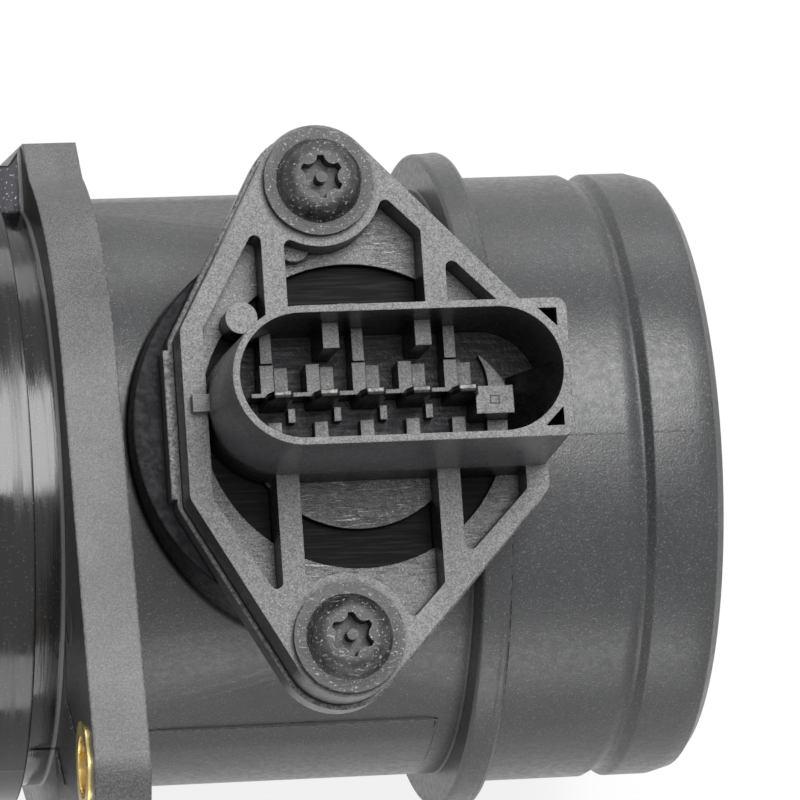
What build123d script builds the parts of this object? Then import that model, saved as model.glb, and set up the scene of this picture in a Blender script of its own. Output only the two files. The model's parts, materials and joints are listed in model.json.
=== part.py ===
"""Mass airflow sensor: a plug-in measuring unit screwed to the saddle of a plastic intake duct.

The duct's axis is X, with air flowing towards +X. The sensor plugs in along -Z from above.
The origin is on the duct's axis, in the plane of the mounting flange's inlet face.
All lengths are millimetres.
"""
from build123d import *
import math
import os

os.makedirs("parts", exist_ok=True)

# Duct wall
BORE_R = 31.0
CENTRE_R = 33.8
SPIGOT_R = 35.0
LEAD_IN_R = 34.0
OUTLET_X = 73.9
OUTLET_ROUND = 1.0
LEAD_IN_LENGTH = 3.4
GROOVE_X = 62.6
GROOVE_WIDTH = 3.0
GROOVE_DEPTH = 0.8

# Hose stop bead
BEAD_X = 47.5
BEAD_R = 38.2
BEAD_START = 3.4
BEAD_END = 4.2
BEAD_ROUND_HALF = 2.5
BEAD_ROUND_DROP = 1.6

# Inlet spigot that plugs into the air filter box
INLET_LENGTH = 22.0
INLET_R = 35.4
INLET_STEP_R = 36.0
INLET_STEP_X = -3.6
INLET_CHAMFER = 0.9
SEAL_X = -11.5
SEAL_WIDTH = 3.2
SEAL_DEPTH = 2.0
SEAL_SECTION_R = 1.45
SEAL_SIDES = 8
KEY_HALF_WIDTH = 12.5
KEY_LENGTH = 7.0

# Mounting flange
FLANGE_T = 6.1
FLANGE_R = 40.8
FLANGE_FLAT_Y = 37.0
EAR_R = 8.0
BOLT_CIRCLE_R = 51.0
BOLT_ANGLE = 135.0
BUSH_R = 5.0
BUSH_BORE_R = 3.3
BUSH_PROUD = 0.3
GUSSET_REACH = 1.6

# Inlet grid, screen and ring
GRID_SEAT_R = 32.6
GRID_FIT = 0.1
GRID_T = 4.8
GRID_CELL_R = 2.9
GRID_WALL = 0.8
GRID_RIM = 2.2
SCREEN_T = 0.5
SCREEN_PITCH = 5.6
SCREEN_WIRE = 0.6
SCREEN_RIM = 1.8
RING_T = 1.2
RING_WIDTH = 2.0

# Saddle and sensor positions
SCREW_X = 27.6
SCREW_HALF = 25.0
PLUG_X = 30.7
PLATE_TOP = 48.0
PLATE_T = 6.0
SADDLE_T = 3.2
SADDLE_LEDGE = 0.5
SADDLE_SIDE_PAD = 1.4
SADDLE_PAD_HALF = 8.2
BOSS_R = 22.0
BOSS_SHIFT = -1.6
POST_R = 6.0
POST_DEPTH = 24.0

# Sensor plate outline, measured from the screw line
LOBE_R = 6.4
PLATE_LEFT = 16.1
PLATE_RIGHT = 23.2
LEFT_CORNER_Y = 9.2
RIGHT_CORNER_Y = 9.5
PLATE_CORNER_R = 1.6
RIM_WALL = 2.5
SCREW_BOSS_R = 7.1
POCKET_DEPTH = 4.5
POCKET_CORNER_R = 0.7
RIB_W = 2.5
LEFT_RIB_X = -5.4
RIGHT_RIB_X = 12.2
PEG_X = -9.3
PEG_Y = 10.3
PEG_R = 1.75
PAD_X = -2.6
PAD_Y = 18.6
PAD_R = 1.7
PAD_HEIGHT = 1.6
TAB_OUT = 1.2
TAB_SIZE = (1.1, 1.9, 1.2)

# Connector socket
SHROUD_RISE = 15.0
SHROUD_WALL = 0.75
SHROUD_Y = 0.95
SHROUD_HALF = 7.45
SHROUD_LEFT = -13.05
SHROUD_DRAFT = 2.0
SHROUD_CORNER_R = 1.2
SOCKET_DEPTH = 13.6
CORNER_POCKET = 2.0
CORNER_POCKET_WALL = 1.1
CORNER_POCKET_DEPTH = 8.0
TERMINAL_COUNT = 5
TERMINAL_PITCH = 5.0
TERMINAL_W = 2.8
TERMINAL_T = 0.8
TERMINAL_RISE = 8.0
TERMINAL_TIP = 1.6
TERMINAL_TIP_W = 1.8
TERMINAL_LEG_W = 1.4
TERMINAL_Y = 0.0
COMB_W = 1.45
COMB_SIDE = 0.9
COMB_RISE = 3.6
COMB_LOW_RISE = 1.8
COMB_BAR_T = 0.45
COMB_BAR_Y = 0.75
COMB_BACK_Y = 4.0
FRONT_RIB_Y = -1.9
FRONT_RIB_RISE = 1.6
STOP_W = 0.75
STOP_LENGTH = 1.5
BIG_KEY_SIDE = 0.6
BIG_KEY_W = 1.75
BIG_KEY_Y = 4.9
BIG_KEY_RISE = 7.6
SMALL_KEY_W = 1.25
SMALL_KEY_Y = 4.15
SMALL_KEY_RISE = 3.9
TOWER_SIZE = (4.1, 3.0)
TOWER_RISE = 5.6
TOWER_X = 16.4
TOWER_Y = -0.9
TOWER_RIB_X = 17.3
TOWER_RIB_W = 2.2
STEP_CENTRE = (10.3, 1.5)
STEP_R = 4.45
STEP_WALL = 0.6
STEP_OUTER_CENTRE = (9.6, -2.9)
STEP_OUTER_R = 10.0
STEP_INNER_R = 6.4
STEP_AREA = (13.5, 18.7, 0.7, 4.8)
STEP_RISE = 1.1
RAMP_FOOT = 18.8
RAMP_TOP = 22.4
RAMP_RISE = 9.0
RAMP_FRONT = -3.4
RAMP_BACK = 2.4

# Plug and its seal
PLUG_R = 18.3
PLUG_CLEARANCE = 0.2
PLUG_DEPTH = 8.0
PLUG_GROOVE_Z = 37.0
PLUG_GROOVE_WIDTH = 2.6
PLUG_GROOVE_DEPTH = 1.7
PLUG_SEAL_R = 0.95
RECESS_OUT_R = 16.8
RECESS_IN_R = 12.45
RECESS_DEPTH = 3.6

# Measuring blade
BLADE_HALF_X = 14.0
BLADE_HALF_Y = 5.0
BLADE_TIP_Z = -11.0
BLADE_NOSE_R = 1.8
BOX_HALF_X = 11.4
BOX_BOTTOM_Z = 9.0
BOX_TOP_Z = 31.0
BOX_FLOOR_Y = -1.5
CARRIER_T = 0.6
BOARD_T = 0.5
BOARD_MARGIN = 1.0
LEG_OVERLAP = 2.5
COVER_T = 1.2
COVER_FIT = 0.1
COVER_LEDGE = 0.8
COVER_GAP = 1.6
CHANNEL_W = 3.6
CHANNEL_FLOOR_Y = -3.5
CHANNEL_IN_Z = -6.2
CHANNEL_OUT_Z = 2.6
CHANNEL_TURN_X = 7.0
CHANNEL_END_X = -8.0
OUTLET_HOLE_R = 1.6
TONGUE_X = -2.0
TONGUE_W = 3.0
TONGUE_DIP = 0.9
ELEMENT_W = 2.2
ELEMENT_T = 0.35
ELEMENT_H = 2.4
CONTROL_CHIP_W = 6.0
CONTROL_CHIP_T = 1.1
CONTROL_CHIP_Z = 18.5
PROBE_X = 11.2
PROBE_Z = 0.0
PROBE_RECESS = (2.8, 7.0)
PROBE_RECESS_DEPTH = 2.6
PROBE_R = 0.9
PROBE_WIRE_R = 0.3

# Tamper-proof screws
SCREW_R = 2.0
SCREW_LENGTH = 18.0
SCREW_HOLE_R = 2.2
WASHER_R = 6.0
WASHER_T = 0.9
WASHER_DISH_R = 5.6
WASHER_DISH_W = 0.4
WASHER_DISH_RISE = 0.1
HEAD_R = 4.3
HEAD_FOOT = 1.6
HEAD_SHOULDER_R = 3.75
HEAD_SHOULDER_H = 2.45
HEAD_TOP_R = 2.7
HEAD_H = 2.9
DRIVE_R = 1.75
DRIVE_LOBE_R = 0.5
DRIVE_DEPTH = 1.9
DRIVE_PIN_R = 0.62
FRONT_SCREW_TURN = 12.0

# Values that follow from the sizes above
PLATE_BOTTOM = PLATE_TOP - PLATE_T
SADDLE_BOTTOM = PLATE_BOTTOM - SADDLE_T
POCKET_FLOOR = PLATE_TOP - POCKET_DEPTH
RIM_Z = PLATE_TOP + SHROUD_RISE
SOCKET_FLOOR = RIM_Z - SOCKET_DEPTH
PLUG_END = PLATE_BOTTOM - PLUG_DEPTH
BOSS_X = PLUG_X + BOSS_SHIFT
SHROUD_X = SCREW_X + SHROUD_LEFT + SHROUD_HALF
GRID_SHOULDER = -INLET_LENGTH + RING_T + GRID_T + SCREEN_T
SCREEN_X = GRID_SHOULDER - SCREEN_T
GRID_X = SCREEN_X - GRID_T
RING_X = GRID_X - RING_T
BOLT_Y = BOLT_CIRCLE_R * math.cos(math.radians(BOLT_ANGLE))
BOLT_Z = BOLT_CIRCLE_R * math.sin(math.radians(BOLT_ANGLE))
SCREW_SPOTS = [(SCREW_X, SCREW_HALF), (SCREW_X, -SCREW_HALF)]
TERMINAL_XS = [PLUG_X + TERMINAL_PITCH * (i - (TERMINAL_COUNT - 1) / 2) for i in range(TERMINAL_COUNT)]
COVER_FACE_Y = BLADE_HALF_Y - COVER_T
BOARD_FACE_Y = BOX_FLOOR_Y + CARRIER_T + BOARD_T
COVER_HALF_X = BOX_HALF_X + COVER_LEDGE
BOX_MIDDLE_Z = (BOX_BOTTOM_Z + BOX_TOP_Z) / 2
BOX_COVER_H = BOX_TOP_Z - BOX_BOTTOM_Z + 2 * COVER_LEDGE
BYPASS_TOP_Z = BOX_BOTTOM_Z - COVER_GAP
BYPASS_MIDDLE_Z = (BYPASS_TOP_Z + BLADE_TIP_Z + COVER_LEDGE) / 2
BYPASS_COVER_H = BYPASS_TOP_Z - BLADE_TIP_Z - COVER_LEDGE
TONGUE_END_Z = CHANNEL_OUT_Z - TONGUE_DIP
PROBE_Y = -BLADE_HALF_Y + PROBE_RECESS_DEPTH / 2
FRONT_WALL_Y = SHROUD_Y - SHROUD_HALF + SHROUD_WALL / 2
BACK_WALL_Y = SHROUD_Y + SHROUD_HALF - SHROUD_WALL / 2
COMB_MIDDLE_Y = (COMB_BAR_Y + COMB_BACK_Y) / 2
STOP_SIDE = (TERMINAL_W + STOP_W) / 2 + COVER_FIT
CORNER_POCKET_Y = SHROUD_HALF - CORNER_POCKET_WALL
BIG_KEY_XS = [TERMINAL_XS[1] + BIG_KEY_SIDE, TERMINAL_XS[3] + BIG_KEY_SIDE]


def tangent_point(sign_x, sign_y, far_x, corner_y, radius):
    """Point where a line from a plate corner touches the round lobe about a screw."""
    dx = sign_x * far_x
    dy = sign_y * corner_y - sign_y * SCREW_HALF
    reach = math.hypot(dx, dy)
    turn = math.acos(radius / reach)
    start = math.atan2(dy, dx)
    angle = start + sign_x * sign_y * turn
    return (SCREW_X + radius * math.cos(angle), sign_y * SCREW_HALF + radius * math.sin(angle))


def plate_outline(grow):
    """Closed diamond line round the sensor plate, larger by grow all round."""
    radius = LOBE_R + grow
    left = PLATE_LEFT + grow
    right = PLATE_RIGHT + grow
    with BuildLine() as edge:
        Polyline(
            tangent_point(-1, 1, left, LEFT_CORNER_Y, radius),
            (SCREW_X - left, LEFT_CORNER_Y),
            (SCREW_X - left, -LEFT_CORNER_Y),
            tangent_point(-1, -1, left, LEFT_CORNER_Y, radius),
        )
        ThreePointArc(
            tangent_point(-1, -1, left, LEFT_CORNER_Y, radius),
            (SCREW_X, -SCREW_HALF - radius),
            tangent_point(1, -1, right, RIGHT_CORNER_Y, radius),
        )
        Polyline(
            tangent_point(1, -1, right, RIGHT_CORNER_Y, radius),
            (SCREW_X + right, -RIGHT_CORNER_Y),
            (SCREW_X + right, RIGHT_CORNER_Y),
            tangent_point(1, 1, right, RIGHT_CORNER_Y, radius),
        )
        ThreePointArc(
            tangent_point(1, 1, right, RIGHT_CORNER_Y, radius),
            (SCREW_X, SCREW_HALF + radius),
            tangent_point(-1, 1, left, LEFT_CORNER_Y, radius),
        )
    return edge.line


def terminal_profile(x):
    """Side outline of a blade terminal centred on x, from its leg on the board to its tip."""
    half = TERMINAL_W / 2
    leg = TERMINAL_LEG_W / 2
    tip = SOCKET_FLOOR + TERMINAL_RISE
    leg_end = BOX_TOP_Z - BOARD_MARGIN - LEG_OVERLAP
    shoulder = SOCKET_FLOOR - TERMINAL_W
    right = [(leg, leg_end), (leg, shoulder), (half, shoulder), (half, tip - TERMINAL_TIP)]
    right.append((TERMINAL_TIP_W / 2, tip))
    return [(x + px, pz) for px, pz in right] + [(x - px, pz) for px, pz in reversed(right)]


def corner_vertices(sketch, far_x):
    """Sketch vertices that lie on one vertical side of the plate."""
    return [v for v in sketch.vertices() if abs(v.X - far_x) < 0.01]


# Duct housing
with BuildPart() as duct_housing:
    with BuildSketch(Plane.XZ):
        with BuildLine():
            Polyline(
                (OUTLET_X, BORE_R),
                (GRID_SHOULDER, BORE_R),
                (GRID_SHOULDER, GRID_SEAT_R),
                (-INLET_LENGTH, GRID_SEAT_R),
                (-INLET_LENGTH, INLET_R - INLET_CHAMFER),
                (-INLET_LENGTH + INLET_CHAMFER, INLET_R),
                (SEAL_X - SEAL_WIDTH / 2, INLET_R),
                (SEAL_X - SEAL_WIDTH / 2, INLET_R - SEAL_DEPTH),
                (SEAL_X + SEAL_WIDTH / 2, INLET_R - SEAL_DEPTH),
                (SEAL_X + SEAL_WIDTH / 2, INLET_R),
                (INLET_STEP_X, INLET_R),
                (INLET_STEP_X, INLET_STEP_R),
                (FLANGE_T / 2, INLET_STEP_R),
                (FLANGE_T / 2, CENTRE_R),
                (BEAD_X - BEAD_START, CENTRE_R),
                (BEAD_X - BEAD_ROUND_HALF, BEAD_R - BEAD_ROUND_DROP),
            )
            ThreePointArc(
                (BEAD_X - BEAD_ROUND_HALF, BEAD_R - BEAD_ROUND_DROP),
                (BEAD_X, BEAD_R),
                (BEAD_X + BEAD_ROUND_HALF, BEAD_R - BEAD_ROUND_DROP),
            )
            Polyline(
                (BEAD_X + BEAD_ROUND_HALF, BEAD_R - BEAD_ROUND_DROP),
                (BEAD_X + BEAD_END, SPIGOT_R),
                (GROOVE_X, SPIGOT_R),
                (GROOVE_X + GROOVE_WIDTH * 0.6, SPIGOT_R - GROOVE_DEPTH),
                (GROOVE_X + GROOVE_WIDTH, SPIGOT_R - GROOVE_DEPTH),
                (GROOVE_X + GROOVE_WIDTH, SPIGOT_R),
                (OUTLET_X - LEAD_IN_LENGTH, SPIGOT_R),
                (OUTLET_X - OUTLET_ROUND, LEAD_IN_R + OUTLET_ROUND / 3),
                (OUTLET_X, LEAD_IN_R - OUTLET_ROUND),
                (OUTLET_X, BORE_R),
            )
        make_face()
    revolve(axis=Axis.X)
    with BuildSketch(Plane.YZ):
        with BuildLine():
            side = math.degrees(math.acos(FLANGE_FLAT_Y / FLANGE_R))
            CenterArc((0, 0), FLANGE_R, side, 180 - 2 * side)
            CenterArc((0, 0), FLANGE_R, 180 + side, 180 - 2 * side)
            CenterArc((BOLT_Y, BOLT_Z), EAR_R, 0, 360)
            CenterArc((-BOLT_Y, -BOLT_Z), EAR_R, 0, 360)
        make_hull()
    extrude(amount=FLANGE_T)
    with BuildSketch(Plane.XY):
        for side_y in (1, -1):
            with BuildLine():
                Polyline(
                    (0, side_y * FLANGE_FLAT_Y),
                    (-GUSSET_REACH, side_y * INLET_STEP_R),
                    (-KEY_LENGTH, side_y * INLET_STEP_R),
                    (-KEY_LENGTH, side_y * GRID_SEAT_R),
                    (0, side_y * GRID_SEAT_R),
                    close=True,
                )
            make_face()
    extrude(amount=KEY_HALF_WIDTH, both=True)
    with BuildSketch(Plane.XY.offset(SADDLE_BOTTOM)):
        with Locations((BOSS_X, 0)):
            Circle(BOSS_R)
        with Locations(*SCREW_SPOTS):
            Circle(POST_R)
    extrude(amount=-POST_DEPTH)
    with BuildSketch(Plane.XY.offset(SADDLE_BOTTOM)) as saddle_plate:
        add(plate_outline(SADDLE_LEDGE))
        make_face()
        fillet(corner_vertices(saddle_plate, SCREW_X - PLATE_LEFT - SADDLE_LEDGE), PLATE_CORNER_R)
        fillet(corner_vertices(saddle_plate, SCREW_X + PLATE_RIGHT + SADDLE_LEDGE), PLATE_CORNER_R)
        with Locations((SCREW_X - PLATE_LEFT - SADDLE_LEDGE, 0)):
            Rectangle(2 * SADDLE_SIDE_PAD, 2 * SADDLE_PAD_HALF)
    extrude(amount=SADDLE_T)
    with BuildSketch(Plane.YZ.offset(GRID_SHOULDER)):
        Circle(BORE_R)
    extrude(amount=OUTLET_X - GRID_SHOULDER, mode=Mode.SUBTRACT)
    with BuildSketch(Plane.XY.offset(PLATE_BOTTOM)):
        with Locations((PLUG_X, 0)):
            Circle(PLUG_R + PLUG_CLEARANCE)
    extrude(amount=-PLATE_BOTTOM, mode=Mode.SUBTRACT)
    with BuildSketch(Plane.XY.offset(PLATE_BOTTOM)):
        with Locations(*SCREW_SPOTS):
            Circle(SCREW_R)
    extrude(amount=-(SCREW_LENGTH - PLATE_T), mode=Mode.SUBTRACT)
    with BuildSketch(Plane.YZ):
        with Locations((BOLT_Y, BOLT_Z), (-BOLT_Y, -BOLT_Z)):
            Circle(BUSH_R)
    extrude(amount=FLANGE_T, mode=Mode.SUBTRACT)
duct_housing.part.label = "duct_housing"
export_step(duct_housing.part, "parts/duct_housing.step")


# Brass bushes in the flange ears
BUSH_SPOTS = {"rear_flange_bush": (-BOLT_Y, -BOLT_Z), "front_flange_bush": (BOLT_Y, BOLT_Z)}
for bush_name, spot in BUSH_SPOTS.items():
    with BuildPart() as flange_bush:
        with BuildSketch(Plane.YZ.offset(-BUSH_PROUD)):
            with Locations(spot):
                Circle(BUSH_R)
                Circle(BUSH_BORE_R, mode=Mode.SUBTRACT)
        extrude(amount=FLANGE_T + BUSH_PROUD)
    flange_bush.part.label = bush_name
    export_step(flange_bush.part, f"parts/{bush_name}.step")

# Rubber ring that seals the inlet spigot in the filter box
with BuildPart() as inlet_seal_ring:
    with BuildSketch(Plane.XZ):
        with Locations((SEAL_X, INLET_R - SEAL_DEPTH + SEAL_SECTION_R)):
            RegularPolygon(SEAL_SECTION_R, SEAL_SIDES, major_radius=False, rotation=180 / SEAL_SIDES)
    revolve(axis=Axis.X)
inlet_seal_ring.part.label = "inlet_seal_ring"
export_step(inlet_seal_ring.part, "parts/inlet_seal_ring.step")

# Honeycomb grid that straightens the air
with BuildPart() as flow_grid:
    with BuildSketch(Plane.YZ.offset(GRID_X)):
        Circle(GRID_SEAT_R - GRID_FIT)
        cell_step = GRID_CELL_R * math.cos(math.radians(30)) + GRID_WALL / 2
        cell_reach = GRID_SEAT_R - GRID_RIM - GRID_CELL_R
        with HexLocations(cell_step, 11, 11, major_radius=False) as cells:
            spots = [(c.position.X, c.position.Y) for c in cells.local_locations]
        with Locations(*[s for s in spots if math.hypot(*s) <= cell_reach]):
            RegularPolygon(GRID_CELL_R, 6, mode=Mode.SUBTRACT)
    extrude(amount=GRID_T)
flow_grid.part.label = "flow_grid"
export_step(flow_grid.part, "parts/flow_grid.step")

# Wire screen behind the grid
with BuildPart() as wire_screen:
    with BuildSketch(Plane.YZ.offset(SCREEN_X)):
        Circle(GRID_SEAT_R - GRID_FIT)
        gap = SCREEN_PITCH - SCREEN_WIRE
        gap_reach = BORE_R - SCREEN_RIM - gap * math.sqrt(0.5)
        with GridLocations(SCREEN_PITCH, SCREEN_PITCH, 11, 11) as gaps:
            gap_spots = [(g.position.X, g.position.Y) for g in gaps.local_locations]
        with Locations(*[g for g in gap_spots if math.hypot(*g) <= gap_reach]):
            Rectangle(gap, gap, mode=Mode.SUBTRACT)
    extrude(amount=SCREEN_T)
wire_screen.part.label = "wire_screen"
export_step(wire_screen.part, "parts/wire_screen.step")

# Ring that snaps in to hold grid and screen
with BuildPart() as grid_retaining_ring:
    with BuildSketch(Plane.YZ.offset(RING_X)):
        Circle(GRID_SEAT_R)
        Circle(GRID_SEAT_R - RING_WIDTH, mode=Mode.SUBTRACT)
    extrude(amount=RING_T)
grid_retaining_ring.part.label = "grid_retaining_ring"
export_step(grid_retaining_ring.part, "parts/grid_retaining_ring.step")

# Sensor housing: ribbed plate, connector socket, plug and measuring blade
with BuildPart() as sensor_housing:
    with BuildSketch(Plane.XY.offset(PLATE_BOTTOM)) as plate:
        add(plate_outline(0))
        make_face()
        fillet(corner_vertices(plate, SCREW_X - PLATE_LEFT), PLATE_CORNER_R)
        fillet(corner_vertices(plate, SCREW_X + PLATE_RIGHT), PLATE_CORNER_R)
    extrude(amount=PLATE_T)
    with BuildSketch(Plane.XY.offset(POCKET_FLOOR)) as pockets:
        add(plate_outline(-RIM_WALL))
        make_face()
        with Locations(*SCREW_SPOTS):
            Circle(SCREW_BOSS_R, mode=Mode.SUBTRACT)
        with Locations((SCREW_X + LEFT_RIB_X, 0), (SCREW_X + RIGHT_RIB_X, 0)):
            Rectangle(RIB_W, 2 * SCREW_HALF, mode=Mode.SUBTRACT)
        with Locations((SCREW_X + PLATE_RIGHT, SHROUD_Y)):
            Rectangle(2 * RIM_WALL + 1, 2 * SHROUD_HALF, mode=Mode.SUBTRACT)
        offset(amount=-POCKET_CORNER_R, kind=Kind.INTERSECTION, mode=Mode.REPLACE)
        offset(amount=POCKET_CORNER_R, mode=Mode.REPLACE)
    extrude(amount=POCKET_DEPTH, mode=Mode.SUBTRACT)
    with BuildSketch(Plane.XY.offset(POCKET_FLOOR - RECESS_DEPTH)):
        with Locations((PLUG_X, 0)):
            Circle(RECESS_OUT_R)
            Circle(RECESS_IN_R, mode=Mode.SUBTRACT)
        add(pockets.sketch.moved(Location((0, 0, -RECESS_DEPTH))), mode=Mode.INTERSECT)
    extrude(amount=RECESS_DEPTH, mode=Mode.SUBTRACT)
    with BuildSketch(Plane.XY.offset(POCKET_FLOOR)):
        with Locations((SCREW_X + PEG_X, PEG_Y)):
            Circle(PEG_R)
    extrude(amount=POCKET_DEPTH)
    with BuildSketch(Plane.XY.offset(POCKET_FLOOR)):
        with Locations((SCREW_X + PAD_X, PAD_Y), (SCREW_X + PAD_X, -PAD_Y)):
            Circle(PAD_R)
    extrude(amount=PAD_HEIGHT)
    with BuildSketch(Plane.XY.offset(RIM_Z)) as shroud_outline:
        with Locations((SHROUD_X, SHROUD_Y)):
            Circle(SHROUD_HALF)
        with Locations(((SHROUD_X + SCREW_X + PLATE_RIGHT) / 2, SHROUD_Y)):
            Rectangle(SCREW_X + PLATE_RIGHT - SHROUD_X, 2 * SHROUD_HALF)
        far_side = corner_vertices(shroud_outline, SCREW_X + PLATE_RIGHT)
        fillet(far_side, SHROUD_CORNER_R)
    extrude(amount=-(RIM_Z - POCKET_FLOOR), taper=-SHROUD_DRAFT)
    with BuildSketch(Plane.XY.offset(RIM_Z)):
        cavity_half = SHROUD_HALF - SHROUD_WALL
        cavity_right = SCREW_X + PLATE_RIGHT - SHROUD_WALL - cavity_half
        with Locations(((SHROUD_X + cavity_right) / 2, SHROUD_Y)):
            SlotCenterToCenter(cavity_right - SHROUD_X, 2 * cavity_half)
    extrude(amount=-SOCKET_DEPTH, mode=Mode.SUBTRACT)
    with BuildSketch(Plane.XY.offset(PLATE_BOTTOM)):
        with Locations((PLUG_X, 0)):
            Circle(PLUG_R)
    extrude(amount=-PLUG_DEPTH)
    with BuildSketch(Plane.XY.offset(PLUG_GROOVE_Z - PLUG_GROOVE_WIDTH / 2)):
        with Locations((PLUG_X, 0)):
            Circle(PLUG_R)
            Circle(PLUG_R - PLUG_GROOVE_DEPTH, mode=Mode.SUBTRACT)
    extrude(amount=PLUG_GROOVE_WIDTH, mode=Mode.SUBTRACT)
    with BuildSketch(Plane.XY.offset(BLADE_TIP_Z)) as blade:
        with Locations((PLUG_X, 0)):
            Rectangle(2 * BLADE_HALF_X, 2 * BLADE_HALF_Y)
        fillet(corner_vertices(blade, PLUG_X - BLADE_HALF_X), BLADE_NOSE_R)
    extrude(amount=PLUG_END - BLADE_TIP_Z)
    with BuildSketch(Plane.XZ.offset(-BLADE_HALF_Y)):
        with Locations((PLUG_X, BOX_MIDDLE_Z)):
            Rectangle(2 * BOX_HALF_X, BOX_TOP_Z - BOX_BOTTOM_Z)
    extrude(amount=BLADE_HALF_Y - BOX_FLOOR_Y, mode=Mode.SUBTRACT)
    with BuildSketch(Plane.XZ.offset(-BLADE_HALF_Y)):
        with Locations((PLUG_X, BOX_MIDDLE_Z)):
            Rectangle(2 * COVER_HALF_X, BOX_COVER_H)
        with Locations((PLUG_X, BYPASS_MIDDLE_Z)):
            Rectangle(2 * COVER_HALF_X, BYPASS_COVER_H)
    extrude(amount=COVER_T, mode=Mode.SUBTRACT)
    with BuildSketch(Plane.XZ.offset(-BLADE_HALF_Y)):
        with BuildLine():
            Polyline(
                (PLUG_X - BLADE_HALF_X - CHANNEL_W, CHANNEL_IN_Z),
                (PLUG_X + CHANNEL_TURN_X, CHANNEL_IN_Z),
                (PLUG_X + CHANNEL_TURN_X, CHANNEL_OUT_Z),
                (PLUG_X + CHANNEL_END_X, CHANNEL_OUT_Z),
            )
            offset(amount=CHANNEL_W / 2)
        make_face()
    extrude(amount=BLADE_HALF_Y - CHANNEL_FLOOR_Y, mode=Mode.SUBTRACT)
    with BuildSketch(Plane.XZ.offset(-CHANNEL_FLOOR_Y)):
        with Locations((PLUG_X + CHANNEL_END_X, CHANNEL_OUT_Z)):
            Circle(OUTLET_HOLE_R)
    extrude(amount=BLADE_HALF_Y + CHANNEL_FLOOR_Y, mode=Mode.SUBTRACT)
    with BuildSketch(Plane.XZ.offset(-COVER_FACE_Y)):
        with Locations((PLUG_X + TONGUE_X, (CHANNEL_OUT_Z + BOX_BOTTOM_Z) / 2)):
            Rectangle(TONGUE_W, BOX_BOTTOM_Z - CHANNEL_OUT_Z)
    extrude(amount=COVER_FACE_Y - BOX_FLOOR_Y, mode=Mode.SUBTRACT)
    with BuildSketch(Plane.XZ.offset(BLADE_HALF_Y)):
        with Locations((PLUG_X + PROBE_X, PROBE_Z)):
            Rectangle(*PROBE_RECESS)
    extrude(amount=-PROBE_RECESS_DEPTH, mode=Mode.SUBTRACT)
    with BuildSketch(Plane.XY.offset(PLATE_TOP)):
        with Locations(*SCREW_SPOTS):
            Circle(SCREW_HOLE_R)
    extrude(amount=-PLATE_T, mode=Mode.SUBTRACT)
    with BuildSketch(Plane.XY.offset(SOCKET_FLOOR)):
        with Locations(*[(x - COMB_SIDE, COMB_MIDDLE_Y) for x in TERMINAL_XS]):
            Rectangle(COMB_W, COMB_BACK_Y - COMB_BAR_Y)
        with Locations((PLUG_X - COMB_SIDE, COMB_BAR_Y)):
            Rectangle(TERMINAL_PITCH * TERMINAL_COUNT - COMB_W, COMB_BAR_T)
    extrude(amount=COMB_RISE)
    with BuildSketch(Plane.XY.offset(SOCKET_FLOOR)):
        with Locations(*[(x + COMB_SIDE, COMB_MIDDLE_Y) for x in TERMINAL_XS]):
            Rectangle(COMB_W, COMB_BACK_Y - COMB_BAR_Y)
    extrude(amount=COMB_LOW_RISE)
    with BuildSketch(Plane.XY.offset(SOCKET_FLOOR)):
        with Locations(*[(x, (FRONT_RIB_Y + FRONT_WALL_Y) / 2) for x in TERMINAL_XS]):
            Rectangle(COMB_W, FRONT_RIB_Y - FRONT_WALL_Y)
        with Locations(*[(x + STOP_SIDE, FRONT_RIB_Y + STOP_LENGTH / 2) for x in TERMINAL_XS]):
            Rectangle(STOP_W, STOP_LENGTH)
        with Locations((SCREW_X + TOWER_RIB_X, (FRONT_RIB_Y + FRONT_WALL_Y) / 2)):
            Rectangle(TOWER_RIB_W, FRONT_RIB_Y - FRONT_WALL_Y)
    extrude(amount=FRONT_RIB_RISE)
    with BuildSketch(Plane.XY.offset(SOCKET_FLOOR)):
        with Locations(*[(x, (BIG_KEY_Y + BACK_WALL_Y) / 2) for x in BIG_KEY_XS]):
            Rectangle(BIG_KEY_W, BACK_WALL_Y - BIG_KEY_Y)
    extrude(amount=BIG_KEY_RISE)
    with BuildSketch(Plane.XY.offset(SOCKET_FLOOR)):
        with Locations(*[(x - COMB_SIDE, (SMALL_KEY_Y + BACK_WALL_Y) / 2) for x in TERMINAL_XS[::2]]):
            Rectangle(SMALL_KEY_W, BACK_WALL_Y - SMALL_KEY_Y)
    extrude(amount=SMALL_KEY_RISE)
    with BuildSketch(Plane.XY.offset(SOCKET_FLOOR)):
        with Locations((SCREW_X + TOWER_X, TOWER_Y)):
            Rectangle(*TOWER_SIZE)
    extrude(amount=TOWER_RISE)
    with BuildSketch(Plane.XY.offset(SOCKET_FLOOR)):
        with Locations((SCREW_X + STEP_OUTER_CENTRE[0], STEP_OUTER_CENTRE[1])):
            Circle(STEP_OUTER_R)
        with Locations((SCREW_X + STEP_CENTRE[0], STEP_CENTRE[1])):
            Circle(STEP_INNER_R, mode=Mode.SUBTRACT)
            Circle(STEP_R)
            Circle(STEP_R - STEP_WALL, mode=Mode.SUBTRACT)
        with BuildLine():
            Polyline(
                (SCREW_X + STEP_AREA[0], STEP_AREA[2]),
                (SCREW_X + STEP_AREA[1], STEP_AREA[2]),
                (SCREW_X + STEP_AREA[1], STEP_AREA[3]),
                (SCREW_X + STEP_AREA[0], STEP_AREA[3]),
                close=True,
            )
        make_face(mode=Mode.INTERSECT)
    extrude(amount=STEP_RISE)
    with BuildSketch(Plane.XZ.offset(-RAMP_FRONT)):
        with BuildLine():
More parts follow.
